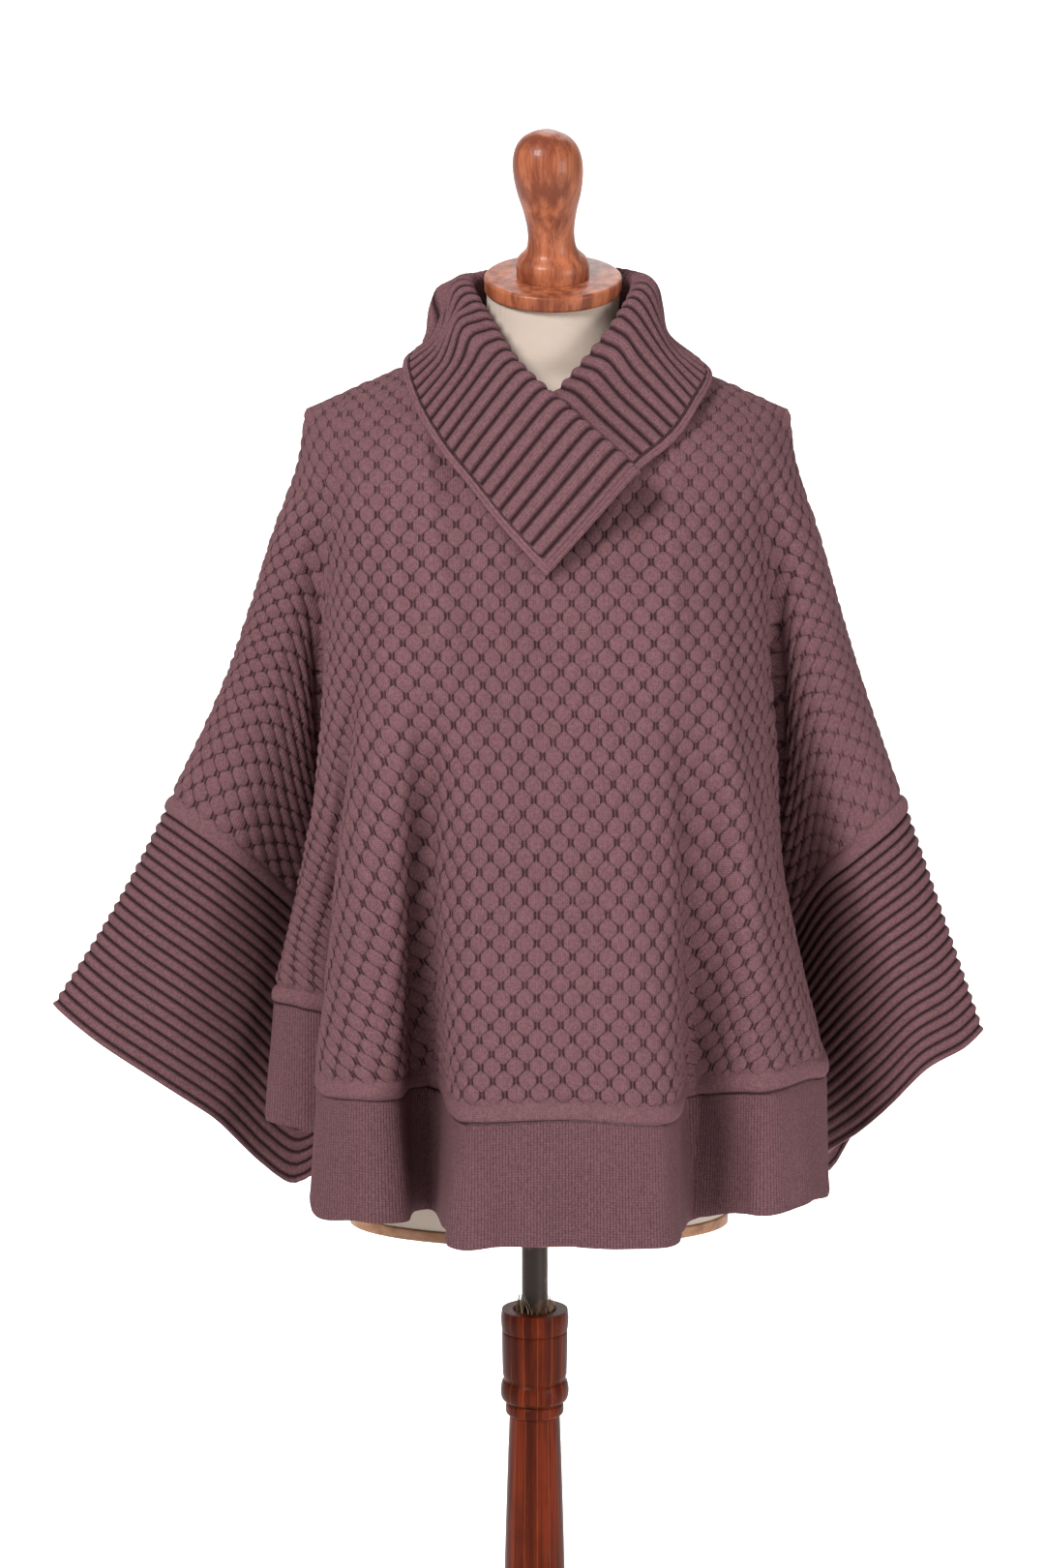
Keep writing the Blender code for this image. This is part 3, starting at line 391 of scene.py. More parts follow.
def knitted(shader, yarn, shadow, creased, fine, height):
    # heathered yarn, with painted shade in the creases and between the stitches
    heather = ((shader.noise(430.0, 2.0) + shader.noise(800.0, 1.0)) * 0.5).rise(0.36, 0.64)
    blotch = shader.noise(9.0, 2.0)
    colour = shader.shade(shader.mix(creased * 0.85, knit[yarn], knit[shadow]),
                          0.56 + heather * 0.36 + blotch * 0.14 + fine * 0.30)
    return shader.surface(colour, 0.95, height=height, gloss=0.1)


def bubbleMaterial():
    shader = Shader("bubble_knit")
    s, v = shader.cloth()
    pitch, rise = knit["bubblePitch"], knit["rowPitch"]
    f = (v / rise).fract()
    odd = ((v / rise).floor() * 0.5).fract()
    found = []
    for shift, up in ((odd, f), (0.5 - odd, 1.0 - f)):
        across = ((s / pitch - shift + 0.5).fract() - 0.5).abs() * pitch
        up = up * rise
        found.append((across, up, (across * across + up * up).power(0.5)))
    (acrossA, upA, reachA), (acrossB, upB, reachB) = found
    # the nearer bubble of the two rows, and how far the sides of its cell are
    isB = reachB.math("LESS_THAN", reachA)
    up = upA + (upB - upA) * isB
    toSide = pitch / 2 - (acrossA + (acrossB - acrossA) * isB)
    bubbled = v.rise(knit["strip"] * 0.9, knit["strip"] * 1.2)
    x, _, z = shader.axes()
    lively = (1.0 - z.rise(*knit["shoulderSpan"]) * knit["shoulderFlat"]
              - x.rise(*knit["sleeveSpan"]) * knit["sleeveFlat"])
    broken = shader.noise(160.0, 1.0).rise(0.30, 0.60) * 0.5 + 0.5
    slant = (reachA - reachB).abs().rise(2.2 * mm, 0.2 * mm)
    crease = slant.most(toSide.rise(2.0 * mm, 0.4 * mm)) * bubbled * lively * broken
    # two short pits side by side where two bubbles of a row meet, sunk in the bump and darkened
    # with painted shade
    pit = ((toSide - 1.5 * mm).abs().rise(1.2 * mm, 0.3 * mm) * up.rise(4.6 * mm, 2.2 * mm)
           * bubbled * (lively * 0.5 + 0.5))
    fine = stitches(s, v, knit["stitch"])
    height = (crease * -0.0009 + pit * -0.0014 + fine * 0.00050
              + shader.noise(1400.0, 2.0) * 0.00018)
    seam = v.rise(1.0 * mm, 0.1 * mm)
    # painted shade darkens the creases between the bubbles and the pits; the seam gets a dark
    # line
    creased = (crease * 0.46 + pit * 0.72 + seam * 0.7).least(1.0)
    return knitted(shader, "bubbleYarn", "shadow", creased, fine, height)


def plainMaterial():
    shader = Shader("plain_knit")
    s, v = shader.cloth()
    fine = stitches(s, v, knit["plainStitch"])
    groove = ((s / knit["plainStitch"]).fract() - 0.5).abs().rise(0.30, 0.5)
    seam = v.rise(1.1 * mm, 0.1 * mm)
    height = fine * 0.0006 + groove * -0.0003 + shader.noise(1400.0, 2.0) * 0.00015
    # painted shade darkens the grooves between the stitch columns; the seam gets a dark line
    creased = (groove * 0.30 + seam * 0.7).least(1.0)
    return knitted(shader, "plainYarn", "shadow", creased, fine, height)


def ribMaterial(name, alongS):
    # ribs lie along v where alongS is false, and the stitches run up them
    shader = Shader(name)
    s, v = shader.cloth()
    across, onward = (s, v) if alongS else (v, s)
    groove = ((across / knit["ribPitch"]).fract() - 0.5).abs().rise(0.24, 0.47)
    fine = stitches(across, onward, knit["ribPitch"] / 5)
    height = groove * -0.0009 + fine * 0.00045 + shader.noise(1400.0, 2.0) * 0.00015
    # painted shade darkens the grooves between the ribs
    return knitted(shader, "ribYarn", "ribShadow", groove, fine, height)


frontWales = (
    # name                  top  chest x, y   waist x, y   seam x, y, z
    ("right_sleeve_edge", -182, -208, 0, -250, 0, -298, 0, 947),
    ("right_sleeve_turn", -174, -202, -30, -240, -34, -281, -30, 941),
    ("right_sleeve_front", -167, -187, -46, -214, -46, -240, -38, 913),
    ("right_sleeve_inner", -162, -177, -48, -192, -34, -204, 6, 871),
    ("right_sleeve_under", -158, -171, -48, -177, -14, -180, 42, 838),
    ("right_underarm", -154, -167, -50, -167, 0, -169, 60, 826),
    ("right_corner", -149, -163, -58, -165, -28, -168, 60, 792),
    ("right_side_crest", -143, -157, -78, -176, -75, -209, -48, 802),
    ("right_side_face", -137, -146, -102, -163, -96, -187, -79, 802),
    ("right_side_valley", -132, -133, -116, -152, -100, -157, -88, 791),
    ("right_pleat_outer", -123, -122, -126, -152, -130, -171, -138, 751),
    ("right_pleat_crest", -114, -110, -134, -131, -152, -136, -172, 750),
    ("right_pleat_inner", -103, -98, -136, -108, -154, -107, -164, 749),
    ("right_valley_outer", -94, -88, -140, -95, -134, -98, -122, 747),
    ("right_neck_point", -86, -77, -143, -79, -131, -76, -117, 745),
    ("centre_pleat_right", -70, -62, -146, -67, -158, -63, -198, 742),
    ("centre_crest_right", -34, -34, -150, -40, -182, -42, -224, 744),
    ("centre", 9, 14, -157, 19, -190, 22, -228, 748),
    ("centre_crest_left", 52, 62, -150, 73, -182, 82, -222, 743),
    ("centre_pleat_left", 88, 89, -146, 103, -158, 107, -198, 740),
    ("left_neck_point", 104, 103, -142, 115, -132, 118, -124, 740),
    ("left_valley_outer", 111, 112, -137, 131, -130, 140, -125, 743),
    ("left_pleat_inner", 120, 122, -131, 146, -134, 160, -142, 748),
    ("left_pleat_crest", 131, 134, -124, 163, -134, 182, -148, 750),
    ("left_pleat_outer", 145, 152, -108, 181, -108, 212, -118, 752),
    ("left_side_crest", 158, 174, -76, 192, -70, 232, -70, 752),
    ("left_corner", 166, 182, -56, 194, -30, 202, 60, 790),
    ("left_underarm", 172, 187, -50, 194, 0, 203, 60, 828),
    ("left_sleeve_under", 176, 192, -48, 203, -14, 214, 42, 844),
    ("left_sleeve_inner", 180, 198, -48, 214, -34, 232, 6, 882),
    ("left_sleeve_front", 185, 208, -46, 230, -46, 253, -36, 910),
    ("left_sleeve_turn", 192, 220, -30, 253, -34, 286, -28, 936),
    ("left_sleeve_edge", 201, 226, 0, 264, 0, 300, 0, 947),
)
backWales = (
    # name                  top  chest x, y   waist x, y   seam x, y, z
    ("left_sleeve_edge", 201, 226, 0, 264, 0, 300, 0, 947),
    ("left_sleeve_turn", 192, 219, 32, 255, 40, 287, 34, 938),
    ("left_sleeve_back", 184, 206, 56, 232, 66, 256, 58, 914),
    ("left_sleeve_inner", 179, 196, 66, 213, 84, 234, 80, 880),
    ("left_sleeve_under", 175, 190, 68, 202, 84, 214, 74, 844),
    ("left_underarm", 171, 186, 70, 195, 82, 203, 60, 828),
    ("left_corner", 166, 182, 78, 194, 90, 202, 60, 790),
    ("left_side_face", 160, 176, 89, 196, 106, 218, 84, 790),
    ("left_side_crest", 154, 168, 97, 190, 122, 218, 118, 782),
    ("left_side_valley", 144, 156, 104, 172, 120, 190, 130, 774),
    ("left_pleat_outer", 135, 144, 110, 160, 138, 174, 158, 762),
    ("left_pleat_crest", 126, 130, 115, 142, 150, 152, 182, 752),
    ("left_pleat_inner", 114, 112, 119, 118, 144, 122, 166, 748),
    ("left_neck_point", 104, 92, 123, 96, 130, 98, 134, 748),
    ("left_neck_side", 98, 85, 124, 87, 130, 89, 136, 747),
    ("left_valley_inner", 86, 76, 125, 78, 132, 80, 140, 747),
    ("centre_pleat_left", 66, 52, 128, 52, 154, 54, 190, 744),
    ("centre", 28, 18, 130, 16, 166, 15, 206, 742),
    ("centre_pleat_right", -12, -18, 128, -22, 156, -24, 194, 743),
    ("right_valley_inner", -44, -48, 125, -54, 132, -56, 142, 747),
    ("right_valley_outer", -66, -66, 123, -72, 130, -76, 134, 748),
    ("right_neck_side", -80, -78, 121, -85, 136, -88, 148, 749),
    ("right_neck_point", -86, -88, 119, -98, 142, -102, 162, 750),
    ("right_pleat_crest", -100, -108, 113, -124, 149, -132, 180, 756),
    ("right_pleat_outer", -114, -126, 106, -142, 136, -154, 156, 766),
    ("right_side_valley", -126, -138, 100, -153, 118, -170, 128, 780),
    ("right_side_crest", -137, -149, 93, -168, 118, -196, 116, 790),
    ("right_side_face", -143, -156, 86, -170, 104, -192, 84, 794),
    ("right_corner", -148, -162, 78, -166, 90, -168, 60, 792),
    ("right_underarm", -153, -167, 70, -170, 82, -169, 60, 826),
    ("right_sleeve_under", -157, -171, 68, -178, 84, -180, 74, 838),
    ("right_sleeve_inner", -161, -177, 64, -192, 82, -206, 78, 870),
    ("right_sleeve_back", -166, -187, 56, -215, 64, -242, 58, 915),
    ("right_sleeve_turn", -174, -201, 32, -241, 40, -282, 34, 941),
    ("right_sleeve_edge", -182, -208, 0, -250, 0, -298, 0, 947),
)
sharpWales = {"seam": ("right_underarm", "right_corner", "left_corner", "left_underarm"),
              "top": ("right_neck_point", "left_neck_point")}
stationLevels = (0.0, 0.10, 0.31, 0.69, 1.0)
yoke = {
    "neckMiddle": 9 * mm, "neckHalf": 95 * mm, "neckPointZ": 1312 * mm,
    "vBottomZ": 1160 * mm, "backNeckZ": 1334 * mm, "backNeckRounding": 0.3,
    "shoulderSlope": 0.42, "shoulderHalf": 192 * mm, "shoulderTurn": 40 * mm,
    "shoulderReach": 0.3, "drop": 35 * mm, "spread": 0.5, "chestEase": 10 * mm,
}
panelGrid = {
    "columns": 396, "rows": 214, "coarse": (6, 5),
    # rows of bubbles lie level at levelZ, lean towards square to the wales over the seam, and
    # run along the cuff on the sleeves under sleeveZ
    "levelZ": 1060 * mm, "levelSpan": 200 * mm, "tilt": 0.5, "tiltSpan": (20 * mm, 170 * mm),
    "sleeveZ": 1200 * mm, "sleeveSpan": 220 * mm, "fieldBlend": 0.3,
    # creases fade at their ends and near the seams, and normals are softened inside the edges
    "creaseEnds": ((-0.12, 0.25), (1.1, 0.6)), "stillRise": 30 * mm, "stillColumns": 8,
    "soften": (3, 12),
}
# soft troughs along a wale, or ridges where the depth is negative
creases = {
    "front": (
        # wale, aside at the low and the high end, low and high end over the seam, width, depth
        ("right_side_valley", 0, 4, 20, 260, 11, 3.0),
        ("right_pleat_outer", 4, 10, 60, 330, 12, 2.6),
        ("right_pleat_crest", 8, 14, 40, 190, 7, 1.6),
        ("right_valley_outer", 6, 4, 10, 300, 12, 5.0),
        ("right_neck_point", 10, 26, 240, 390, 10, 2.0),
        ("centre_crest_right", 6, -4, 130, 330, 10, 1.8),
        ("centre", 22, 14, 10, 150, 13, 2.6),
        ("centre", 34, 26, 90, 280, 11, 1.8),
        ("centre_crest_left", 14, 6, 170, 360, 9, 2.0),
        ("left_valley_outer", 2, 4, 10, 280, 16, 6.0),
        ("left_pleat_crest", 0, 2, 120, 340, 14, -2.4),
        ("left_pleat_outer", 4, -4, 210, 400, 12, 2.2),
        ("left_side_crest", -16, -10, 20, 250, 11, 3.4),
        ("left_side_crest", 18, 16, 140, 360, 14, 4.5),
        ("left_underarm", 0, -2, 130, 350, 11, 10.0),
        ("right_underarm", -2, 0, 80, 320, 12, 8.0),
    ),
    "back": (
        ("left_side_valley", 0, 2, 60, 300, 12, 3.0),
        ("left_neck_point", 6, -4, 40, 330, 12, 3.4),
        ("left_valley_inner", 8, 2, 110, 330, 10, 2.0),
        ("centre", 14, 8, 50, 240, 11, 2.2),
        ("centre", -12, -6, 160, 380, 12, 1.6),
        ("right_valley_inner", 0, 2, 20, 280, 12, 3.6),
        ("right_pleat_outer", 0, 6, 150, 370, 12, 2.0),
        ("right_side_valley", 2, 0, 40, 290, 11, 3.0),
        ("right_side_crest", 8, 4, 90, 250, 12, -1.8),
    ),
}


class Panel:
    def __init__(self, name, wales, side):
        print("shaping the", name)
        self.name, self.wales, self.side = name, wales, side
        self.names = [row[0] for row in wales]
        self.seamCorners, self.topCorners = (
            sorted(self.names.index(wale) for wale in sharpWales[end]) for end in ("seam", "top"))
        self.stations = np.array(list(map(self.waleStations, range(len(wales))))).swapaxes(0, 1)
        self.u = self.columnPlaces()
        self.shoulder = (self.u <= self.topCorners[0]) | (self.u >= self.topCorners[-1])
        across = [self.across(k) for k in range(len(stationLevels))]
        first = (across[1] - across[0]) / stationLevels[1]
        level = np.minimum(1, np.abs(across[1][:, 1]) / yoke["shoulderTurn"])[self.shoulder]
        first[self.shoulder, 1] *= 1 + yoke["shoulderReach"] * level
        first[self.shoulder, 2] *= 1 - level
        t = np.arange(panelGrid["rows"] + 1) / panelGrid["rows"]
        self.points = hermite(across, stationLevels, t, first)
        self.normals = gridNormals(self.points)
        self.trueSeams()
        self.measure()

    def columnPlaces(self):
        # columns are spread by the widths at the seam, the waist and the chest
        spans = sum(np.linalg.norm(np.diff(self.stations[k], axis=0), axis=1) * share
                    for k, share in ((4, 0.5), (3, 0.3), (2, 0.2)))
        places = []
        for i, length in enumerate(spans):
            steps = max(2, round(panelGrid["columns"] * length / spans.sum()))
            places.extend(i + k / steps for k in range(steps))
        return np.array(places + [len(spans)])

    def sectionY(self, x, z):
        half, front, back = formSize(z)
        depth = (front if self.side < 0 else back) + yoke["chestEase"]
        share = min(1.0, abs(x - yoke["neckMiddle"]) / yoke["shoulderHalf"])
        return self.side * depth * math.sqrt(1 - share ** 2)

    def topPoint(self, index):
        x, high = self.wales[index][1] * mm, yoke["neckPointZ"]
        out = abs(x - yoke["neckMiddle"])
        if not self.topCorners[0] < index < self.topCorners[-1]:
            fall = yoke["shoulderSlope"] * max(0.0, out - yoke["neckHalf"])
            return x, 0.0, high - fall
        share = out / yoke["neckHalf"]
        if self.side < 0:
            z = yoke["vBottomZ"] + (high - yoke["vBottomZ"]) * share
            return x, self.sectionY(x, z), z
        z = yoke["backNeckZ"] - (yoke["backNeckZ"] - high) * share ** 2
        rounding = (1 - share ** 2) ** yoke["backNeckRounding"]
        return x, self.sectionY(x, z) * rounding, z

    def waleStations(self, index):
        chestX, chestY, waistX, waistY, *seam = (value * mm for value in self.wales[index][2:])
        top = self.topPoint(index)
        share = stationLevels[1] / stationLevels[2] * yoke["spread"]
        x, z = top[0] + (chestX - top[0]) * share, top[2] - yoke["drop"]
        chestZ, waistZ = (top[2] + (seam[2] - top[2]) * level for level in stationLevels[2:4])
        return (top, (x, self.sectionY(x, z), z), (chestX, chestY, chestZ),
                (waistX, waistY, waistZ), seam)

    def across(self, k):
        row = self.stations[k]
        if k == 0:
            middle = [self.names.index("centre")] if self.side < 0 else []
            return through(row, self.u, self.topCorners + middle)
        # the curve runs on, mirrored, past the sleeve edges
        turned = row[[1, -2]] * (1, -1, 1)
        corners = [c + 1 for c in self.seamCorners] if k == 4 else ()
        return through(np.vstack([turned[:1], row, turned[1:]]), self.u + 1, corners)

    def between(self, low, high):
        return np.flatnonzero((self.u >= low - 1e-6) & (self.u <= high + 1e-6))

    def columns(self, low, high):
        return self.between(self.names.index(low), self.names.index(high))

    def trueSeams(self):
        # seams lie in the plane between front and back, half a gap apart
        shift = self.side * knit["seamGap"] / 2
        for picked in (self.between(0, self.topCorners[0]),
                       self.between(self.topCorners[-1], len(self.names))):
            self.flatten(0, picked, np.gradient(self.points[0, picked], axis=0), shift)
        for end in (0, -1):
            tangent = np.gradient(self.points[:, end], axis=0)
            self.flatten(slice(1, None), end, tangent[1:], shift)
        for low, high in (self.seamCorners[:2], self.seamCorners[2:]):
            for i in self.between(low, high):
                self.points[-1, i, 1] += shift
                isUnderarm = "underarm" in self.names[round(self.u[i])]
                sideways = (math.copysign(1, self.points[-1, i, 0]), 0, 0)
                self.normals[-1, i] = (0, 0, -1) if isUnderarm else sideways

    def flatten(self, rows, columns, tangent, shift):
        normal = unit(np.stack([-tangent[:, 2], tangent[:, 0] * 0, tangent[:, 0]], axis=-1))
        old = self.normals[rows, columns]
        self.normals[rows, columns] = normal * np.where(dot(old, normal) < 0, -1, 1)
        self.points[rows, columns, 1] = shift

    def measure(self):
        # distances on the cloth, once from the sleeve edges and once from the body's centre
        p, grid = self.points, panelGrid
        down = np.linalg.norm(np.diff(p, axis=0), axis=2)
        self.rise = np.vstack([np.cumsum(down[::-1], axis=0)[::-1], np.zeros((1, p.shape[1]))])
        along, step = unit(np.gradient(p, axis=0)), np.diff(p, axis=1)
        mid = unit(along[:, 1:] + along[:, :-1])
        lean = dot(step, mid)
        run = summed(np.linalg.norm(step - mid * lean, axis=2))
        low, high = self.seamCorners[1:3]
        centre = np.argmin(np.abs(self.u - self.names.index("centre")))
        self.body = body = run - run[:, centre:centre + 1]
        atLevel, atSleeve = (np.array([np.interp(-z, -p[:, i, 2], self.rise[:, i])
                                       for i in range(p.shape[1])])
                             for z in (grid["levelZ"], grid["sleeveZ"]))
        level = atLevel[(self.u >= low) & (self.u <= high)].mean() - atLevel
        share = smooth(p[:, :, 2], grid["levelZ"] - grid["levelSpan"], grid["levelZ"])
        square = summed(-lean[..., 0])
        square = square - square[:, centre:centre + 1] + self.rise[:, centre:centre + 1]
        tilted = (square - self.rise) * smooth(self.rise, *grid["tiltSpan"])
        bodyV = self.rise + level * share * (1 - grid["tilt"]) + tilted * grid["tilt"]
        sleeveS, sleeveV = body.copy(), self.rise.copy()
        share = smooth(p[:, :, 2], grid["sleeveZ"] - grid["sleeveSpan"], grid["sleeveZ"])
        isFirst = np.arange(p.shape[1]) < centre
        for columns, end, middle, sign in ((isFirst, 0, low, 1), (~isFirst, -1, high, -1)):
            width = np.abs(body[:, end])
            edge = np.argmin(np.abs(self.u - middle))
            row = np.argmin(np.abs(p[:, edge, 2] - grid["sleeveZ"]))
            sleeveS[:, columns] += sign * np.maximum(0, width - width[row])[:, None]
            offset = bodyV[row, edge] - atSleeve
            repeat = 2 * knit["rowPitch"]
            onSleeve = (self.u - middle) * sign <= 0
            offset = offset - repeat * round(offset[onSleeve].mean() / repeat)
            sleeveV[:, columns] += (offset * share)[:, columns]
        self.fields = [wandered(sleeveS, sleeveV), wandered(body, bodyV)]
        self.bodyShare = smooth(np.minimum(self.u - low, high - self.u),
                                -grid["fieldBlend"], grid["fieldBlend"])
        self.pick = ((self.u[:-1] + 1e-6 >= low) & (self.u[1:] - 1e-6 <= high)).astype(int)

    def relief(self):
        sleeve, body = map(bubbles, self.fields)
        lively = (1 - knit["shoulderFlat"] * smooth(self.points[..., 2], *knit["shoulderSpan"])
                  - knit["sleeveFlat"] * smooth(self.points[..., 0], *knit["sleeveSpan"]))
        crown = (sleeve * (1 - self.bodyShare) + body * self.bodyShare) * lively
        strip = knit["strip"]
        fade = ((1 - smooth(self.rise, strip + 3 * mm, strip - 2 * mm))
                * smooth(self.rise[:1] - self.rise, 0, 5 * mm))
        puff = np.clip(1 - (self.rise / strip * 2 - 1) ** 2, 0, 1) ** 0.5
        wave = np.sin(self.body / 0.017 + 1.3 * np.sin(self.body / 0.041))
        puff = puff * (1 + knit["stripUneven"] * wave)
        groove = np.exp(-((self.rise - strip * 1.08) / knit["grooveWidth"]) ** 2)
        return (crown * fade * knit["bubbleHeight"] + puff * knit["stripPuff"]
                - groove * knit["groove"])

    def trough(self):
        sunk = np.zeros(self.rise.shape)
        for wale, asideLow, asideHigh, low, high, width, depth in creases[self.name]:
            column = np.argmin(np.abs(self.u - self.names.index(wale)))
            f = (self.rise / mm - low) / (high - low)
            aside = asideLow + (asideHigh - asideLow) * np.clip(f, 0, 1)
            across = (self.body - self.body[:, column:column + 1]) / mm - aside
            start, end = (smooth(f, *span) for span in panelGrid["creaseEnds"])
            sunk += np.exp(-(across / width) ** 2) * start * end * depth * mm
        return blurred(sunk * smooth(self.rise, 0, panelGrid["stillRise"])
                       * smooth(fromEnds(len(self.u)), 0, panelGrid["stillColumns"]), 1)

    def make(self, node):
        inside = np.minimum.outer(*map(fromEnds, self.rise.shape))
        soft = smooth(inside, *panelGrid["soften"])[..., None]
        normals = unit(blurred(self.normals, 1) * (1 - soft) + blurred(self.normals, 5) * soft)
        sunk = self.trough()
        outer = self.points + normals * (self.relief() - sunk)[..., None]
        inner = self.points - self.normals * (knit["wall"] + np.maximum(sunk, 0))[..., None]
        return shell(node, outer, inner, self.fields, panelGrid["coarse"], self.pick)


band = {
    "height": 97 * mm, "flare": 5 * mm, "gap": 0.4 * mm, "rows": 26, "crowding": 1.15,
    "dip": 0.9 * mm, "dipHeight": 4 * mm, "hemWave": 1.5 * mm, "waveSpans": (19, 47),
    # at the hem a low ridge, and then the edge rounds off
    "ridge": 0.5 * mm, "ridgeSpan": (86 * mm, 92 * mm),
    "round": 1.0 * mm, "roundSpan": (94 * mm, 97 * mm),
    # soft folds, from the middle of each band: place, width and depth at the hem
    "front_band_cloth": ((-462, 16, 4.1), (-418, 12, -2.7), (-366, 15, 3.4), (-300, 14, -2.7),
                         (-238, 12, 3.4), (-196, 10, -2.4), (-62, 13, 3.7), (-36, 10, -4.0),
                         (-2, 12, 6.4), (27, 11, -4.4), (56, 12, 5.6), (92, 11, -2.4),
                         (176, 14, 3.4), (236, 12, -3.1), (282, 15, 4.1), (344, 13, -3.1),
                         (402, 14, 3.7), (470, 12, 2.7)),
    "back_band_cloth": ((-318, 14, 3.4), (-262, 12, -2.7), (-204, 15, 3.7), (-138, 12, -2.4),
                        (-72, 12, 3.1), (-22, 13, 4.1), (24, 11, -3.1), (86, 14, 3.4),
                        (150, 12, -2.7), (214, 14, 3.7), (276, 12, 2.7)),
}


def makeBand(name, panel, low, high):
    # plain knitting hanging from the panel's seam
    picked = panel.columns(low, high)
    seam, first = panel.points[-1, picked], panel.normals[-1, picked]
    down = np.array((0.0, 0.0, -1.0))
    start = seam + awayFrom(np.gradient(seam, axis=0), down, first) * band["gap"]
    share = np.linspace(0, 1, band["rows"] + 1)[:, None, None] ** band["crowding"]
    along = lengthsOf(seam)
    middle = (along - along[-1] / 2) / mm
    short, long = band["waveSpans"]
    waves = np.sin(middle / short + 1.4 * np.sin(middle / long))
    waves = waves * np.sin(math.pi * along / along[-1])
    hem = band["height"] - band["hemWave"] * waves[:, None]
    points = start + share * (down * hem + unit(first * (1, 1, 0)) * band["flare"])
    blend = np.clip(1 - share * 8, 0, 1)
    normals = unit(gridNormals(points) * (1 - blend) + first * blend)
    normals[:, [0, -1]] = first[[0, -1]]
    s = np.broadcast_to(along, points.shape[:2])
    v = np.broadcast_to(share[..., 0] * band["height"], points.shape[:2])
    fold = sum(np.exp(-((middle - place) / width) ** 2) * depth * mm
               for place, width, depth in band[name])
    fold = (fold * smooth(share[..., 0], 0, 0.9)
            * smooth(np.minimum(along, along[::-1]), 0, 20 * mm))
    height = (band["ridge"] * smooth(v, *band["ridgeSpan"])
              - band["round"] * smooth(v, *band["roundSpan"])
              - band["dip"] * smooth(v, band["dipHeight"], 0))
    outer = points + normals * (height - fold)[..., None]
    inner = points - normals * (knit["wall"] + fold)[..., None]
    return shell(name, outer, inner, [np.stack([s, v], axis=-1)], (5, 4))


cuffMouths = {
    # share of the way, x, front y, z, back y, z
    "right": (
        (0.00, -391, 2, 787, 2, 787), (0.15, -356, -16, 761, 24, 764),
        (0.38, -304, -24, 728, 44, 730), (0.58, -262, -16, 697, 58, 697),
        (0.70, -246, 6, 675, 66, 680), (0.84, -228, 28, 649, 74, 656),
        (0.95, -203, 44, 626, 72, 632), (1.00, -183, 56, 634, 56, 634),
    ),
    "left": (
        (0.00, 364, 2, 766, 2, 766), (0.15, 348, -12, 754, 22, 750),
        (0.35, 318, -21, 739, 42, 722), (0.55, 290, -14, 707, 56, 692),
        (0.72, 268, 6, 681, 64, 665), (0.86, 254, 26, 665, 66, 641),
        (0.95, 245, 40, 655, 62, 632), (1.00, 238, 54, 640, 54, 640),
    ),
}
cuff = {
    "ribs": 19, "ribSamples": 9, "relief": 2.2 * mm, "gap": 0.5 * mm, "sideGap": 3.5 * mm,
    "underarm": 0.7, "hollows": {"right": 4.0 * mm, "left": 0.0},
}


def cuffHalf(panel, low, high):
    picked = panel.columns(low, high)
    seam = panel.points[-1, picked]
    way = lengthsOf(seam) / lengthsOf(seam)[-1]
    return seam, panel.normals[-1, picked], way if "edge" in low else 1 - way, panel.side < 0


def joined(first, second):
    parts = []
    for half, following in ((first, second), (second, first)):
        seam, normal, way, isFront = half
        seam = np.vstack([seam[1:-1], (seam[-1:] + following[0][:1]) / 2])
        parts.append((seam, normal[1:], way[1:], np.full(len(seam), isFront)))
    return [np.concatenate(items) for items in zip(*parts)]


def mouthPoints(arm, way, isFront):
    table = cuffMouths[arm]
    ahead = [row[1:4] for row in table]
    behind = [(row[1], row[4], row[5]) for row in table[1:-1]]
    loop = ahead + behind[::-1]
    loop = np.array([loop[-1]] + loop + loop[:2]) * mm
    place = np.interp(way, [row[0] for row in table], range(len(table)))
    return through(loop, 1 + np.where(isFront, place, 2 * (len(table) - 1) - place))


def makeCuff(arm, front, back):
    ends = [arm + "_sleeve_edge", arm + "_underarm"]
    if arm == "left":
        ends.reverse()
    seam, loopNormals, way, isFront = joined(cuffHalf(front, *ends), cuffHalf(back, *ends[::-1]))
    end = mouthPoints(arm, way, isFront)
    tangent = np.roll(seam, -1, axis=0) - np.roll(seam, 1, axis=0)
    near = np.maximum(0, way - cuff["underarm"]) / (1 - cuff["underarm"])
    outward = np.copysign(1, seam[:, 0])
    start = seam + awayFrom(tangent, end - seam) * cuff["gap"] + np.stack(
        [outward * near ** 2, near * 0, -near], axis=-1) * cuff["sideGap"]
    hollow = np.outer((way - 1) * outward, (1, 0, 0)) * cuff["hollows"][arm]
    count = cuff["ribs"] * cuff["ribSamples"] + cuff["ribSamples"] // 2
    f = (np.arange(count + 1) / count)[:, None, None]
    points = start + (end - start) * f + hollow * np.sin(math.pi * f)
    blend = np.clip(1 - f * 16, 0, 1) * (way < cuff["underarm"] + 0.1)[None, :, None]
    normals = unit(gridNormals(points, wrap=True) * (1 - blend) + loopNormals * blend)
    ribs = cuff["ribs"] + 0.5
    wave = (0.5 - 0.5 * np.cos(2 * math.pi * ribs * f)) ** 0.7 * cuff["relief"]
    points = points + normals * wave
    inner = points - normals * (knit["wall"] + wave)
    around = lengthsOf(np.vstack([start, start[:1]]))
    s = np.broadcast_to(around, (count + 1, len(around)))
    v = np.broadcast_to(f[..., 0] * ribs * knit["ribPitch"], s.shape)
    return shell(arm + "_cuff_cloth", points, inner, [np.stack([s, v], axis=-1)], (9, 4),
                 wrap=True)


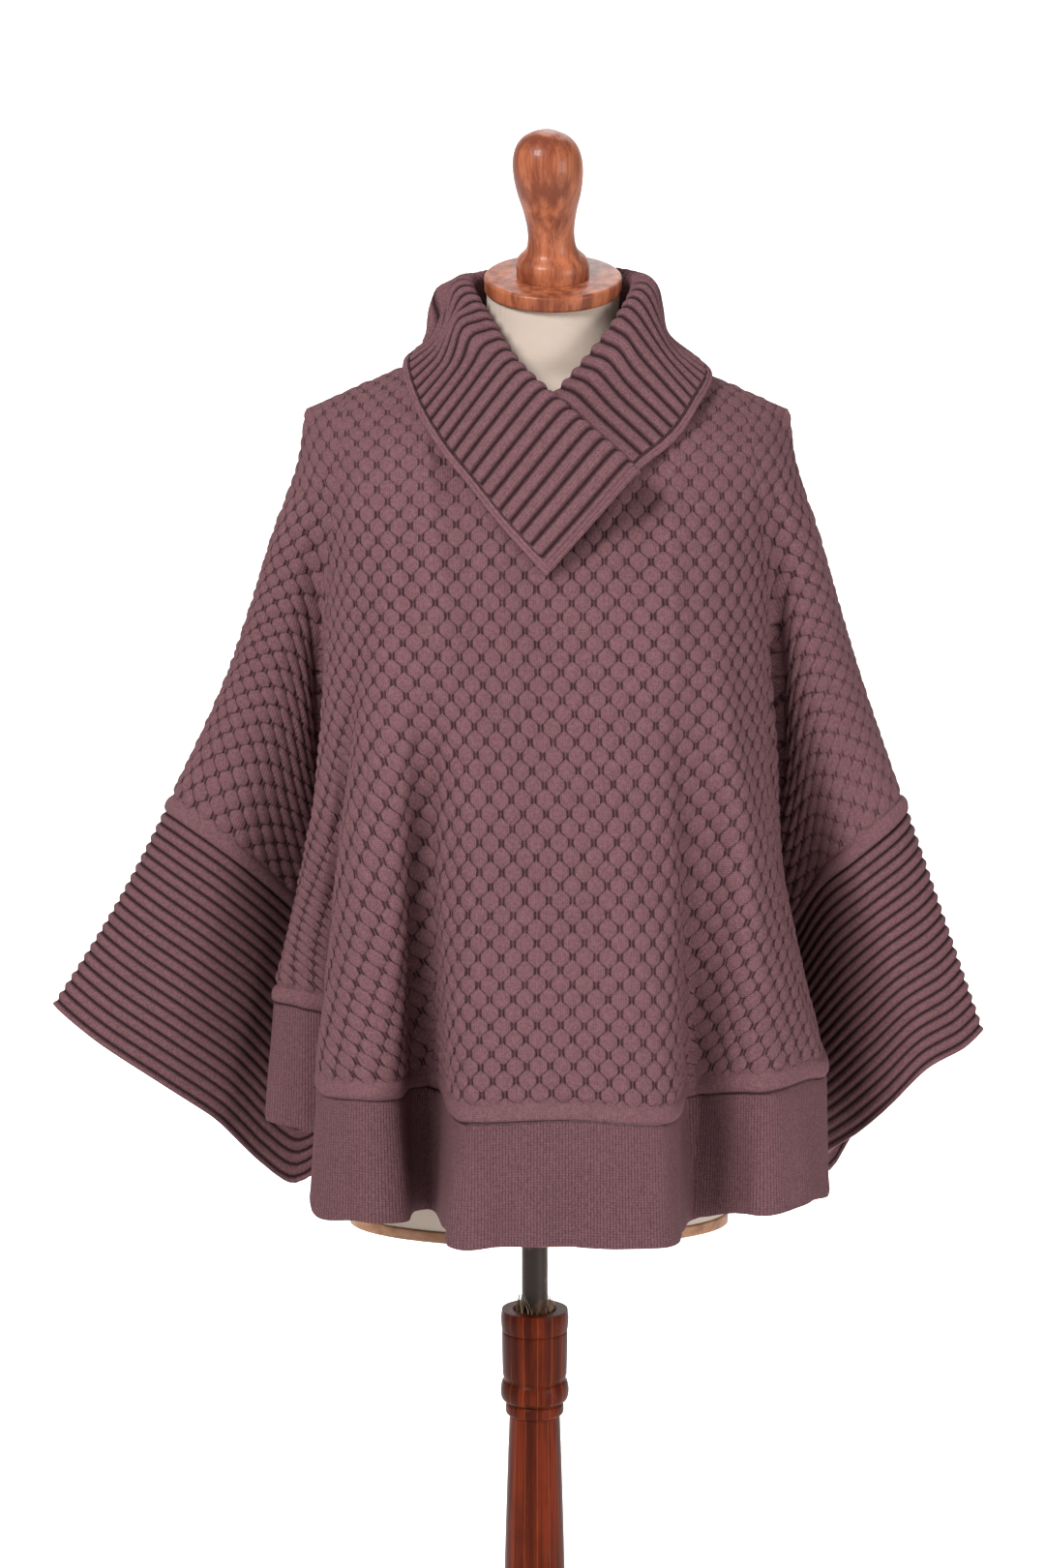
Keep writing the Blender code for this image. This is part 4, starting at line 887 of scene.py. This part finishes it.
collarSections = (
    # name          seam   roll x, y, z        edge x, y, z       roll radius, bulge
    ("over_end", 0.03, 79, -142, 1233, 8, -141, 1154, 6.0, 1.0),
    ("over_low", 0.07, 61, -137, 1250, -9, -137, 1172, 6.0, 2.0),
    ("over_mid", 0.12, 38, -125, 1269, -29, -131, 1194, 6.5, 3.0),
    ("over_throat", 0.19, 13, -107, 1290, -51, -121, 1221, 7.0, 4.0),
    ("over_neck", 0.25, -13, -81, 1313, -74, -103, 1248, 8.0, 4.0),
    ("right_front", 0.31, -34, -46, 1343, -94, -73, 1279, 9.0, -1.0),
    ("right_side", 0.37, -52, -4, 1371, -104, -20, 1309, 9.0, -12.0),
    ("right_back", 0.43, -44, 42, 1375, -84, 50, 1317, 9.0, -10.0),
    ("back_right", 0.475, -26, 70, 1378, -46, 90, 1323, 11.0, -1.0),
    ("back", 0.525, 14, 80, 1380, 13, 104, 1324, 11.0, 0.0),
    ("back_left", 0.575, 55, 70, 1379, 77, 90, 1321, 11.0, -1.0),
    ("left_back", 0.62, 75, 42, 1376, 114, 50, 1314, 10.0, -9.0),
    ("left_side", 0.68, 79, -4, 1370, 139, -20, 1301, 9.5, -12.0),
    ("left_front", 0.74, 63, -42, 1344, 126, -70, 1278, 8.5, -1.0),
    ("under_neck", 0.79, 39, -62, 1314, 109, -91, 1255, 7.0, 3.0),
    ("under_throat", 0.84, 18, -78, 1291, 86, -106, 1238, 6.5, 3.0),
    ("under_end", 0.88, 4, -88, 1276, 70, -114, 1224, 6.0, 2.0),
)
collar = {
    "ribs": 58, "ribSamples": 8, "rows": 50, "edgeRows": 18, "edgeStep": 5.6,
    "relief": 2.4 * mm, "flapStep": 4.0, "clearance": 2.6 * mm, "seamGap": 0.8 * mm,
    "window": 12 * mm,
    # plain edging: its width, how far it stands out, and its two small rolls
    "edging": 6.0 * mm, "edgingLift": 0.6 * mm, "edgingRoll": 1.0 * mm,
}


def neckline(front, back):
    outer, inner = [], []
    for panel, low, high in ((front, "right_neck_point", "centre"),
                             (back, "left_neck_point", "right_neck_point"),
                             (front, "centre", "left_neck_point")):
        picked = panel.columns(low, high)[::-1]
        outer.append(panel.points[0, picked])
        inner.append(outer[-1] - panel.normals[0, picked] * knit["wall"])
    return np.vstack(outer), np.vstack(inner)


def makeCollar(name, front, back):
    print("rolling the collar")
    outerRun, innerRun = neckline(front, back)
    lengths = lengthsOf(outerRun)

    def at(goal, run):
        return np.stack([np.interp(goal, lengths, run[:, k]) for k in range(3)], axis=-1)

    table = np.array([row[1:] for row in collarSections], float)
    rolls, edges = table[:, 1:4] * mm, table[:, 4:7] * mm
    last = len(table) - 1
    fine = np.linspace(0, last, 1601)
    spread = lengthsOf(through(rolls, fine) + through(edges, fine))
    count = collar["ribs"] * collar["ribSamples"]
    us = np.interp(np.linspace(0, spread[-1], count + 1), spread, fine)
    goal = through(table[:, :1], us)[:, 0] * lengths[-1]
    outer, inner = at(goal, outerRun), at(goal, innerRun)
    tangent = at(goal + collar["window"], outerRun) - at(goal - collar["window"], outerRun)
    roll, edge = through(rolls, us), through(edges, us)
    radius, bulge = (through(table[:, k:k + 1], us) * mm for k in (7, 8))
    start = inner + awayFrom(tangent, roll - outer, outer - inner) * collar["seamGap"]
    onward = through(rolls, np.minimum(us + 0.1, last)) - through(rolls, np.maximum(us - 0.1, 0))
    crown = unit(roll - (start + edge) / 2)
    away = awayFrom(crown, edge - start, onward)
    under = roll - crown * radius * 1.1
    sections = np.array([
        start, (start + roll) / 2 - away * radius * 0.9, under - away * radius, roll,
        under + away * radius, roll * 0.45 + edge * 0.55 + away * (bulge + radius * 0.35), edge])
    steps = np.concatenate([np.linspace(0, collar["edgeStep"], collar["rows"]),
                            np.linspace(collar["edgeStep"], 6, collar["edgeRows"] + 1)[1:]])
    points = through(sections, steps)
    points = points + liftOff(points, steps, front, back)
    blend = np.clip(1 - steps * 2, 0, 1)[:, None, None]
    normals = unit(unit(inner - outer) * blend - gridNormals(points) * (1 - blend))
    ribs = np.broadcast_to(np.linspace(0, collar["ribs"], count + 1), points.shape[:2])
    v, along = (np.cumsum(np.linalg.norm(np.diff(points, axis=axis, prepend=first), axis=2),
                          axis=axis) for axis, first in ((0, points[:1]), (1, points[:, :1])))
    toEdge = np.minimum(v[-1:] - v, np.minimum(along, along[:, -1:] - along))
    plain = smooth(toEdge, collar["edging"] + 2 * mm, collar["edging"])
    ribbed = (1 - plain) * smooth(steps, 0, 0.5)[:, None]
    wave = (0.5 - 0.5 * np.cos(2 * math.pi * ribs)) ** 0.7
    edging = np.abs(np.sin(2 * math.pi * toEdge / collar["edging"])) * collar["edgingRoll"]
    height = wave * ribbed * collar["relief"] + (edging + collar["edgingLift"]) * plain
    # the edging takes its colour from the crown of a rib
    s = (ribs * (1 - plain) + 0.5 * plain) * knit["ribPitch"]
    return shell(name, points + normals * height[..., None], points - normals * knit["wall"],
                 [np.stack([s, v], axis=-1)], (4, 4), flip=True)


def liftOff(points, steps, front, back):
    # the flap rests on the bubbles of the panels under it
    upper = (slice(0, panelGrid["rows"] // 2, 2), slice(None, None, 2))
    places, facings = (np.vstack([grid[upper].reshape(-1, 3) for grid in grids]) for grids in (
        (front.points, back.points), (front.normals, back.normals)))
    tree = kdtree.KDTree(len(places))
    for i, place in enumerate(places):
        tree.insert(place, i)
    tree.balance()
    lift = np.zeros(points.shape)
    for j in np.flatnonzero(steps > collar["flapStep"]):
        for i in range(points.shape[1]):
            found = tree.find(points[j, i])[1]
            height = (points[j, i] - places[found]) @ facings[found]
            need = knit["wall"] + collar["clearance"] - height
            lift[j, i] = facings[found] * max(0.0, need)
    return blurred(lift, 3)


formSections = (
    # z, half width, front, back, tilt
    (615.3, 154.0, 78.5, 78.5, 0.0), (700.0, 158.0, 95.0, 91.0, 0.0),
    (780.0, 155.0, 102.0, 96.0, 0.0), (870.0, 133.0, 97.0, 85.0, 0.0),
    (945.0, 118.0, 92.0, 76.0, 0.0), (1030.0, 126.0, 106.0, 80.0, 0.0),
    (1110.0, 142.0, 126.0, 87.0, 0.0), (1170.0, 154.0, 124.0, 91.0, 0.0),
    (1220.0, 170.0, 106.0, 90.0, 0.0), (1250.0, 174.0, 87.0, 79.0, 0.0),
    (1272.0, 160.0, 70.0, 64.0, 0.0), (1288.0, 120.0, 57.0, 61.0, 0.0),
    (1303.0, 80.0, 49.0, 56.0, 4.0), (1322.0, 60.0, 49.0, 54.0, 9.0),
    (1344.0, 53.0, 48.0, 51.0, 14.0), (1364.5, 52.5, 49.0, 51.0, 16.5),
)
stand = {
    "middleX": 3.5 * mm, "lean": 10.5 * mm, "neckTilt": 16.5, "capRadius": 54.5 * mm,
    "capHeight": 13 * mm, "capRounding": 2.5 * mm, "boardHalf": 155.5 * mm,
    "boardDepth": 80 * mm, "boardHeight": 9.5 * mm, "boardRounding": 1.5 * mm,
    "boardZ": 605.5 * mm, "poleRadius": 10.75 * mm, "poleDepth": 150 * mm,
    "postTop": 531 * mm, "recessRadius": 17 * mm, "recessDepth": 9 * mm, "bevel": 1.5 * mm,
    "boreGap": 0.45 * mm, "knobLean": -2.8, "gap": 0.3 * mm,
    "formSides": 128, "turnedSides": 96, "fineness": 5,
    "postSharp": (1, 12, 15, 20, 22),
}
# profiles of the turned pieces: radius, height
knobProfile = (
    (28.8, 0.3), (28.8, 10.0), (27.0, 14.5), (20.8, 21.0), (18.7, 29.0), (18.8, 40.0),
    (21.4, 54.0), (25.2, 68.0), (27.4, 82.0), (27.3, 94.0), (24.4, 104.5), (18.4, 112.0),
    (9.6, 116.5),
)
postProfile = (
    (20.0, 26.3), (20.0, 44.0), (33.0, 50.0), (35.5, 60.0), (33.0, 70.0), (25.0, 76.0),
    (23.0, 90.0), (25.0, 130.0), (26.5, 210.0), (25.2, 300.0), (23.0, 380.0), (21.3, 430.0),
    (20.9, 441.0), (23.8, 443.0), (24.0, 449.0), (22.6, 452.0), (27.0, 455.0), (28.3, 462.0),
    (27.2, 469.0), (25.6, 472.0), (26.6, 476.0), (27.2, 509.0), (26.2, 512.0), (27.4, 515.0),
    (28.0, 524.0), (27.2, 531.0),
)
footProfile = (
    (157.0, 0.0), (160.0, 3.0), (160.0, 13.0), (156.0, 18.0), (60.0, 25.0), (55.0, 26.0),
)


def formSize(z):
    rows = np.array(formSections) * mm
    return [np.interp(z, rows[:, 0], rows[:, k]) for k in (1, 2, 3)]


def finely(table, sharp=()):
    steps = (len(table) - 1) * stand["fineness"] + 1
    return through(table, np.linspace(0, len(table) - 1, steps), sharp)


def ring(middle, half, front, back, tilt, count):
    angle = 2 * math.pi * np.arange(count) / count
    y = np.sin(angle)
    y = np.where(y > 0, back, front) * y
    turn = math.radians(tilt)
    return np.stack([half * np.cos(angle), y * math.cos(turn), y * math.sin(turn)],
                    axis=-1) + middle


def loft(name, rings, smoothAngle=40):
    rings = np.asarray(rings)
    rows, count = rings.shape[:2]
    place = np.arange(rows * count).reshape(rows, count)
    following = np.roll(place, -1, axis=1)
    faces = np.stack([place[:-1], following[:-1], following[1:], place[1:]], axis=-1)
    faces = faces.reshape(-1, 4).tolist() + [place[0][::-1].tolist(), place[-1].tolist()]
    return addMesh(name, rings.reshape(-1, 3), faces, smoothAngle=smoothAngle)


def turned(name, profile):
    return loft(name, [ring((0, 0, z), radius, radius, radius, 0, stand["turnedSides"])
                       for radius, z in profile], 35)


def makeTorso():
    low, high = formSections[0][0], formSections[-1][0]
    return loft("torso_canvas", [
        ring((stand["middleX"] + stand["lean"] * (z - low) / (high - low), 0, z * mm),
             half * mm, front * mm, back * mm, tilt, stand["formSides"])
        for z, half, front, back, tilt in finely(formSections)])


def makeBoard():
    corner, rings = stand["boardRounding"], []
    for angle in np.linspace(-90, 90, 13):
        a = math.radians(angle)
        inset = corner * (1 - math.cos(a))
        lift = corner * (1 + math.sin(a)) + (stand["boardHeight"] - 2 * corner) * (angle >= 0)
        depth = stand["boardDepth"] - inset
        rings.append(ring((stand["middleX"], 0, stand["boardZ"] + lift),
                          stand["boardHalf"] - inset, depth, depth, 0, stand["formSides"]))
    return loft("board_wood", rings)


def makeNeck():
    radius, height, corner = stand["capRadius"], stand["capHeight"], stand["capRounding"]
    rows = [(radius - corner, stand["gap"])]
    for low, start, z in ((-90, 0, stand["gap"] + corner), (0, 90, height - corner)):
        rows += [(radius - corner + corner * math.cos(math.radians(a)),
                  z + corner * math.sin(math.radians(a))) for a in np.linspace(low, start, 6)]
    cap = turned("cap_wood", rows)
    knob = turned("knob_wood", finely(np.array(knobProfile) * mm, (1,)))
    for corner in knob.data.vertices:
        corner.co.x += math.tan(math.radians(stand["knobLean"])) * corner.co.z
    neck = Vector((stand["middleX"] + stand["lean"], 0, formSections[-1][0] * mm))
    tilt = Matrix.Rotation(math.radians(stand["neckTilt"]), 4, "X")
    for piece, lift in ((cap, 0), (knob, height)):
        piece.data.transform(Matrix.Translation(neck) @ tilt @ Matrix.Translation((0, 0, lift)))
    return cap, knob


def makePost():
    top, mouth = stand["postTop"], stand["recessRadius"]
    floor, bore = top - stand["recessDepth"], stand["poleRadius"] + stand["boreGap"]
    inside = [(mouth + stand["bevel"], top), (mouth, top - stand["bevel"]), (mouth, floor),
              (bore, floor), (bore, floor - stand["poleDepth"])]
    return turned("post_wood", [*finely(np.array(postProfile) * mm, stand["postSharp"]),
                                *inside])


straw = {"blades": 110, "seed": 7, "radius": (11.6, 16.2), "length": (9, 23), "width": 0.9,
         "lean": 0.5}


def makeStraw():
    # broken straw packed round the pole, standing a little over the post's mouth
    random.seed(straw["seed"])
    points, faces = [], []
    floor = stand["postTop"] - stand["recessDepth"] + stand["gap"]
    for blade in range(straw["blades"]):
        turn = Matrix.Rotation(random.uniform(0, 2 * math.pi), 4, "Z")
        radius = random.uniform(*straw["radius"]) * mm
        length = random.uniform(*straw["length"]) * mm
        lean = random.uniform(-straw["lean"], straw["lean"])
        for lift, width in ((0, 1), (0.5, 0.9), (1, 0.25)):
            for k in range(3):
                a = 2 * math.pi * k / 3
                half = straw["width"] * mm * width / 2
                corner = (radius + half * math.cos(a),
                          half * math.sin(a) + lean * lift * lift * length * 0.8,
                          length * lift)
                points.append(tuple(turn @ Vector(corner) + Vector((0, 0, floor))))
        base = 9 * blade
        faces += [(base + 2, base + 1, base), (base + 6, base + 7, base + 8)]
        for level in (base, base + 3):
            for k in range(3):
                a, b = level + k, level + (k + 1) % 3
                faces.append((a, b, b + 3, a + 3))
    return addMesh("straw", points, faces)


def woodMaterial(name, light, dark, roughness, coat, stretch, staves=0, gloss=0.08):
    # grain along z, with fine pores, and pale glue lines between the staves
    shader = Shader(name)
    x, y, z = shader.axes()
    grain = shader.noise(1.0, 5.0, shader.vector(x * stretch, y * stretch, z * 5.0), 0.65)
    fine = shader.noise(3.0, 3.0, shader.vector(x * stretch * 3, y * stretch * 3, z * 9.0))
    colour = shader.mix(grain.rise(0.35, 0.68), dark, light)
    colour = shader.mix(fine.rise(0.52, 0.72) * 0.45, colour, dark)
    if staves:
        turn = y.math("ARCTAN2", x) * (staves / (2 * math.pi)) + 0.3
        colour = shader.shade(colour, (turn.floor() * 12.9898).wave() * 0.16 + 0.92)
        glue = (turn.fract() - 0.5).abs().rise(0.46, 0.495)
        colour = shader.mix(glue * 0.45, colour, (0.34, 0.095, 0.030))
        colour = shader.mix(shader.noise(16.0, 3.0).rise(0.50, 0.70) * 0.55, colour, dark)
    return shader.surface(colour, roughness, height=fine * 0.00012, coat=coat, gloss=gloss)


def boardMaterial():
    shader = Shader("plywood")
    x, y, z = shader.axes()
    grain = shader.noise(1.0, 5.0, shader.vector(x * 9.0, y * 130.0, z * 130.0), 0.6)
    layers = ((z / (1.6 * mm)).wave() * 0.5 + 0.5).rise(0.3, 0.7)
    colour = shader.mix(grain.rise(0.35, 0.65), (0.24, 0.10, 0.045), (0.40, 0.20, 0.10))
    colour = shader.mix(layers * 0.35, colour, (0.25, 0.11, 0.05))
    return shader.surface(colour, 0.5, height=grain * 0.0001)


def canvasMaterial():
    shader = Shader("canvas")
    x, y, z = shader.axes()
    weave = ((x + y * 0.7) / (1.1 * mm)).wave() * 0.5 + (z / (1.1 * mm)).wave() * 0.5
    stain = shader.noise(7.0, 4.0).rise(0.35, 0.7)
    colour = shader.mix(stain * 0.5, (0.56, 0.46, 0.39), (0.44, 0.33, 0.25))
    colour = shader.shade(colour, 0.94 + weave * 0.06)
    height = weave * 0.00006 + shader.noise(300.0, 2.0) * 0.0001
    return shader.surface(colour, 0.92, height=height)


def steelMaterial():
    shader = Shader("dark_steel")
    spots = shader.noise(60.0, 5.0)
    colour = shader.mix(spots.rise(0.45, 0.7), (0.045, 0.034, 0.030), (0.15, 0.085, 0.055))
    return shader.surface(colour, 0.38 + spots * 0.25, height=spots * 0.0001, metallic=0.85)


def strawMaterial():
    shader = Shader("straw")
    blotch = shader.noise(220.0, 2.0)
    return shader.surface(shader.mix(blotch, (0.38, 0.27, 0.17), (0.20, 0.13, 0.08)), 0.7)


def dress(piece, node, material):
    piece.data.materials.append(material)
    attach(piece, "root")
    if node:
        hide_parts(node)
    print(piece.name, sum(len(face.vertices) - 2 for face in piece.data.polygons), "triangles")
    return piece


makeCamera()
makeStudio()

bubbleKnit, plainKnit = bubbleMaterial(), plainMaterial()
collarKnit, cuffKnit = ribMaterial("collar_rib", True), ribMaterial("cuff_rib", False)
front, back = Panel("front", frontWales, -1), Panel("back", backWales, 1)
frontPanel = dress(front.make("front_cloth"), "front_panel", bubbleKnit)
backPanel = dress(back.make("back_cloth"), "back_panel", bubbleKnit)
frontBand = dress(makeBand("front_band_cloth", front, "right_corner", "left_corner"),
                  "front_hem_band", plainKnit)
backBand = dress(makeBand("back_band_cloth", back, "left_corner", "right_corner"),
                 "back_hem_band", plainKnit)
rightCuff = dress(makeCuff("right", front, back), "right_cuff", cuffKnit)
leftCuff = dress(makeCuff("left", front, back), "left_cuff", cuffKnit)
collarCloth = dress(makeCollar("collar_cloth", front, back), "collar", collarKnit)

print("turning the stand")
dress(makeTorso(), "torso", canvasMaterial())
dress(makeBoard(), "base_board", boardMaterial())
# name, light, dark, roughness, coat, stretch of the grain
knobWood = woodMaterial("turned_wood", (0.43, 0.135, 0.060), (0.17, 0.040, 0.018), 0.42, 0.12,
                        90.0, gloss=0.2)
postWood = woodMaterial("stained_wood", (0.170, 0.022, 0.005), (0.052, 0.007, 0.002), 0.44, 0.02,
                        110.0, staves=14)
footWood = woodMaterial("foot_wood", (0.150, 0.026, 0.010), (0.050, 0.009, 0.005), 0.42, 0.04,
                        22.0)
cap, knob = makeNeck()
dress(cap, "neck_cap", knobWood)
dress(knob, "neck_knob", knobWood)
dress(makePost(), "post", postWood)
foot = turned("foot_wood", finely(np.array(footProfile) * mm, range(len(footProfile))))
dress(foot, "foot", footWood)
poleTop = stand["boardZ"] - stand["gap"]
poleFoot = stand["postTop"] - stand["recessDepth"] - stand["poleDepth"] + stand["gap"]
pole = turned("pole_steel", [(stand["poleRadius"], poleFoot), (stand["poleRadius"], poleTop)])
dress(pole, "pole", steelMaterial())
dress(makeStraw(), None, strawMaterial())
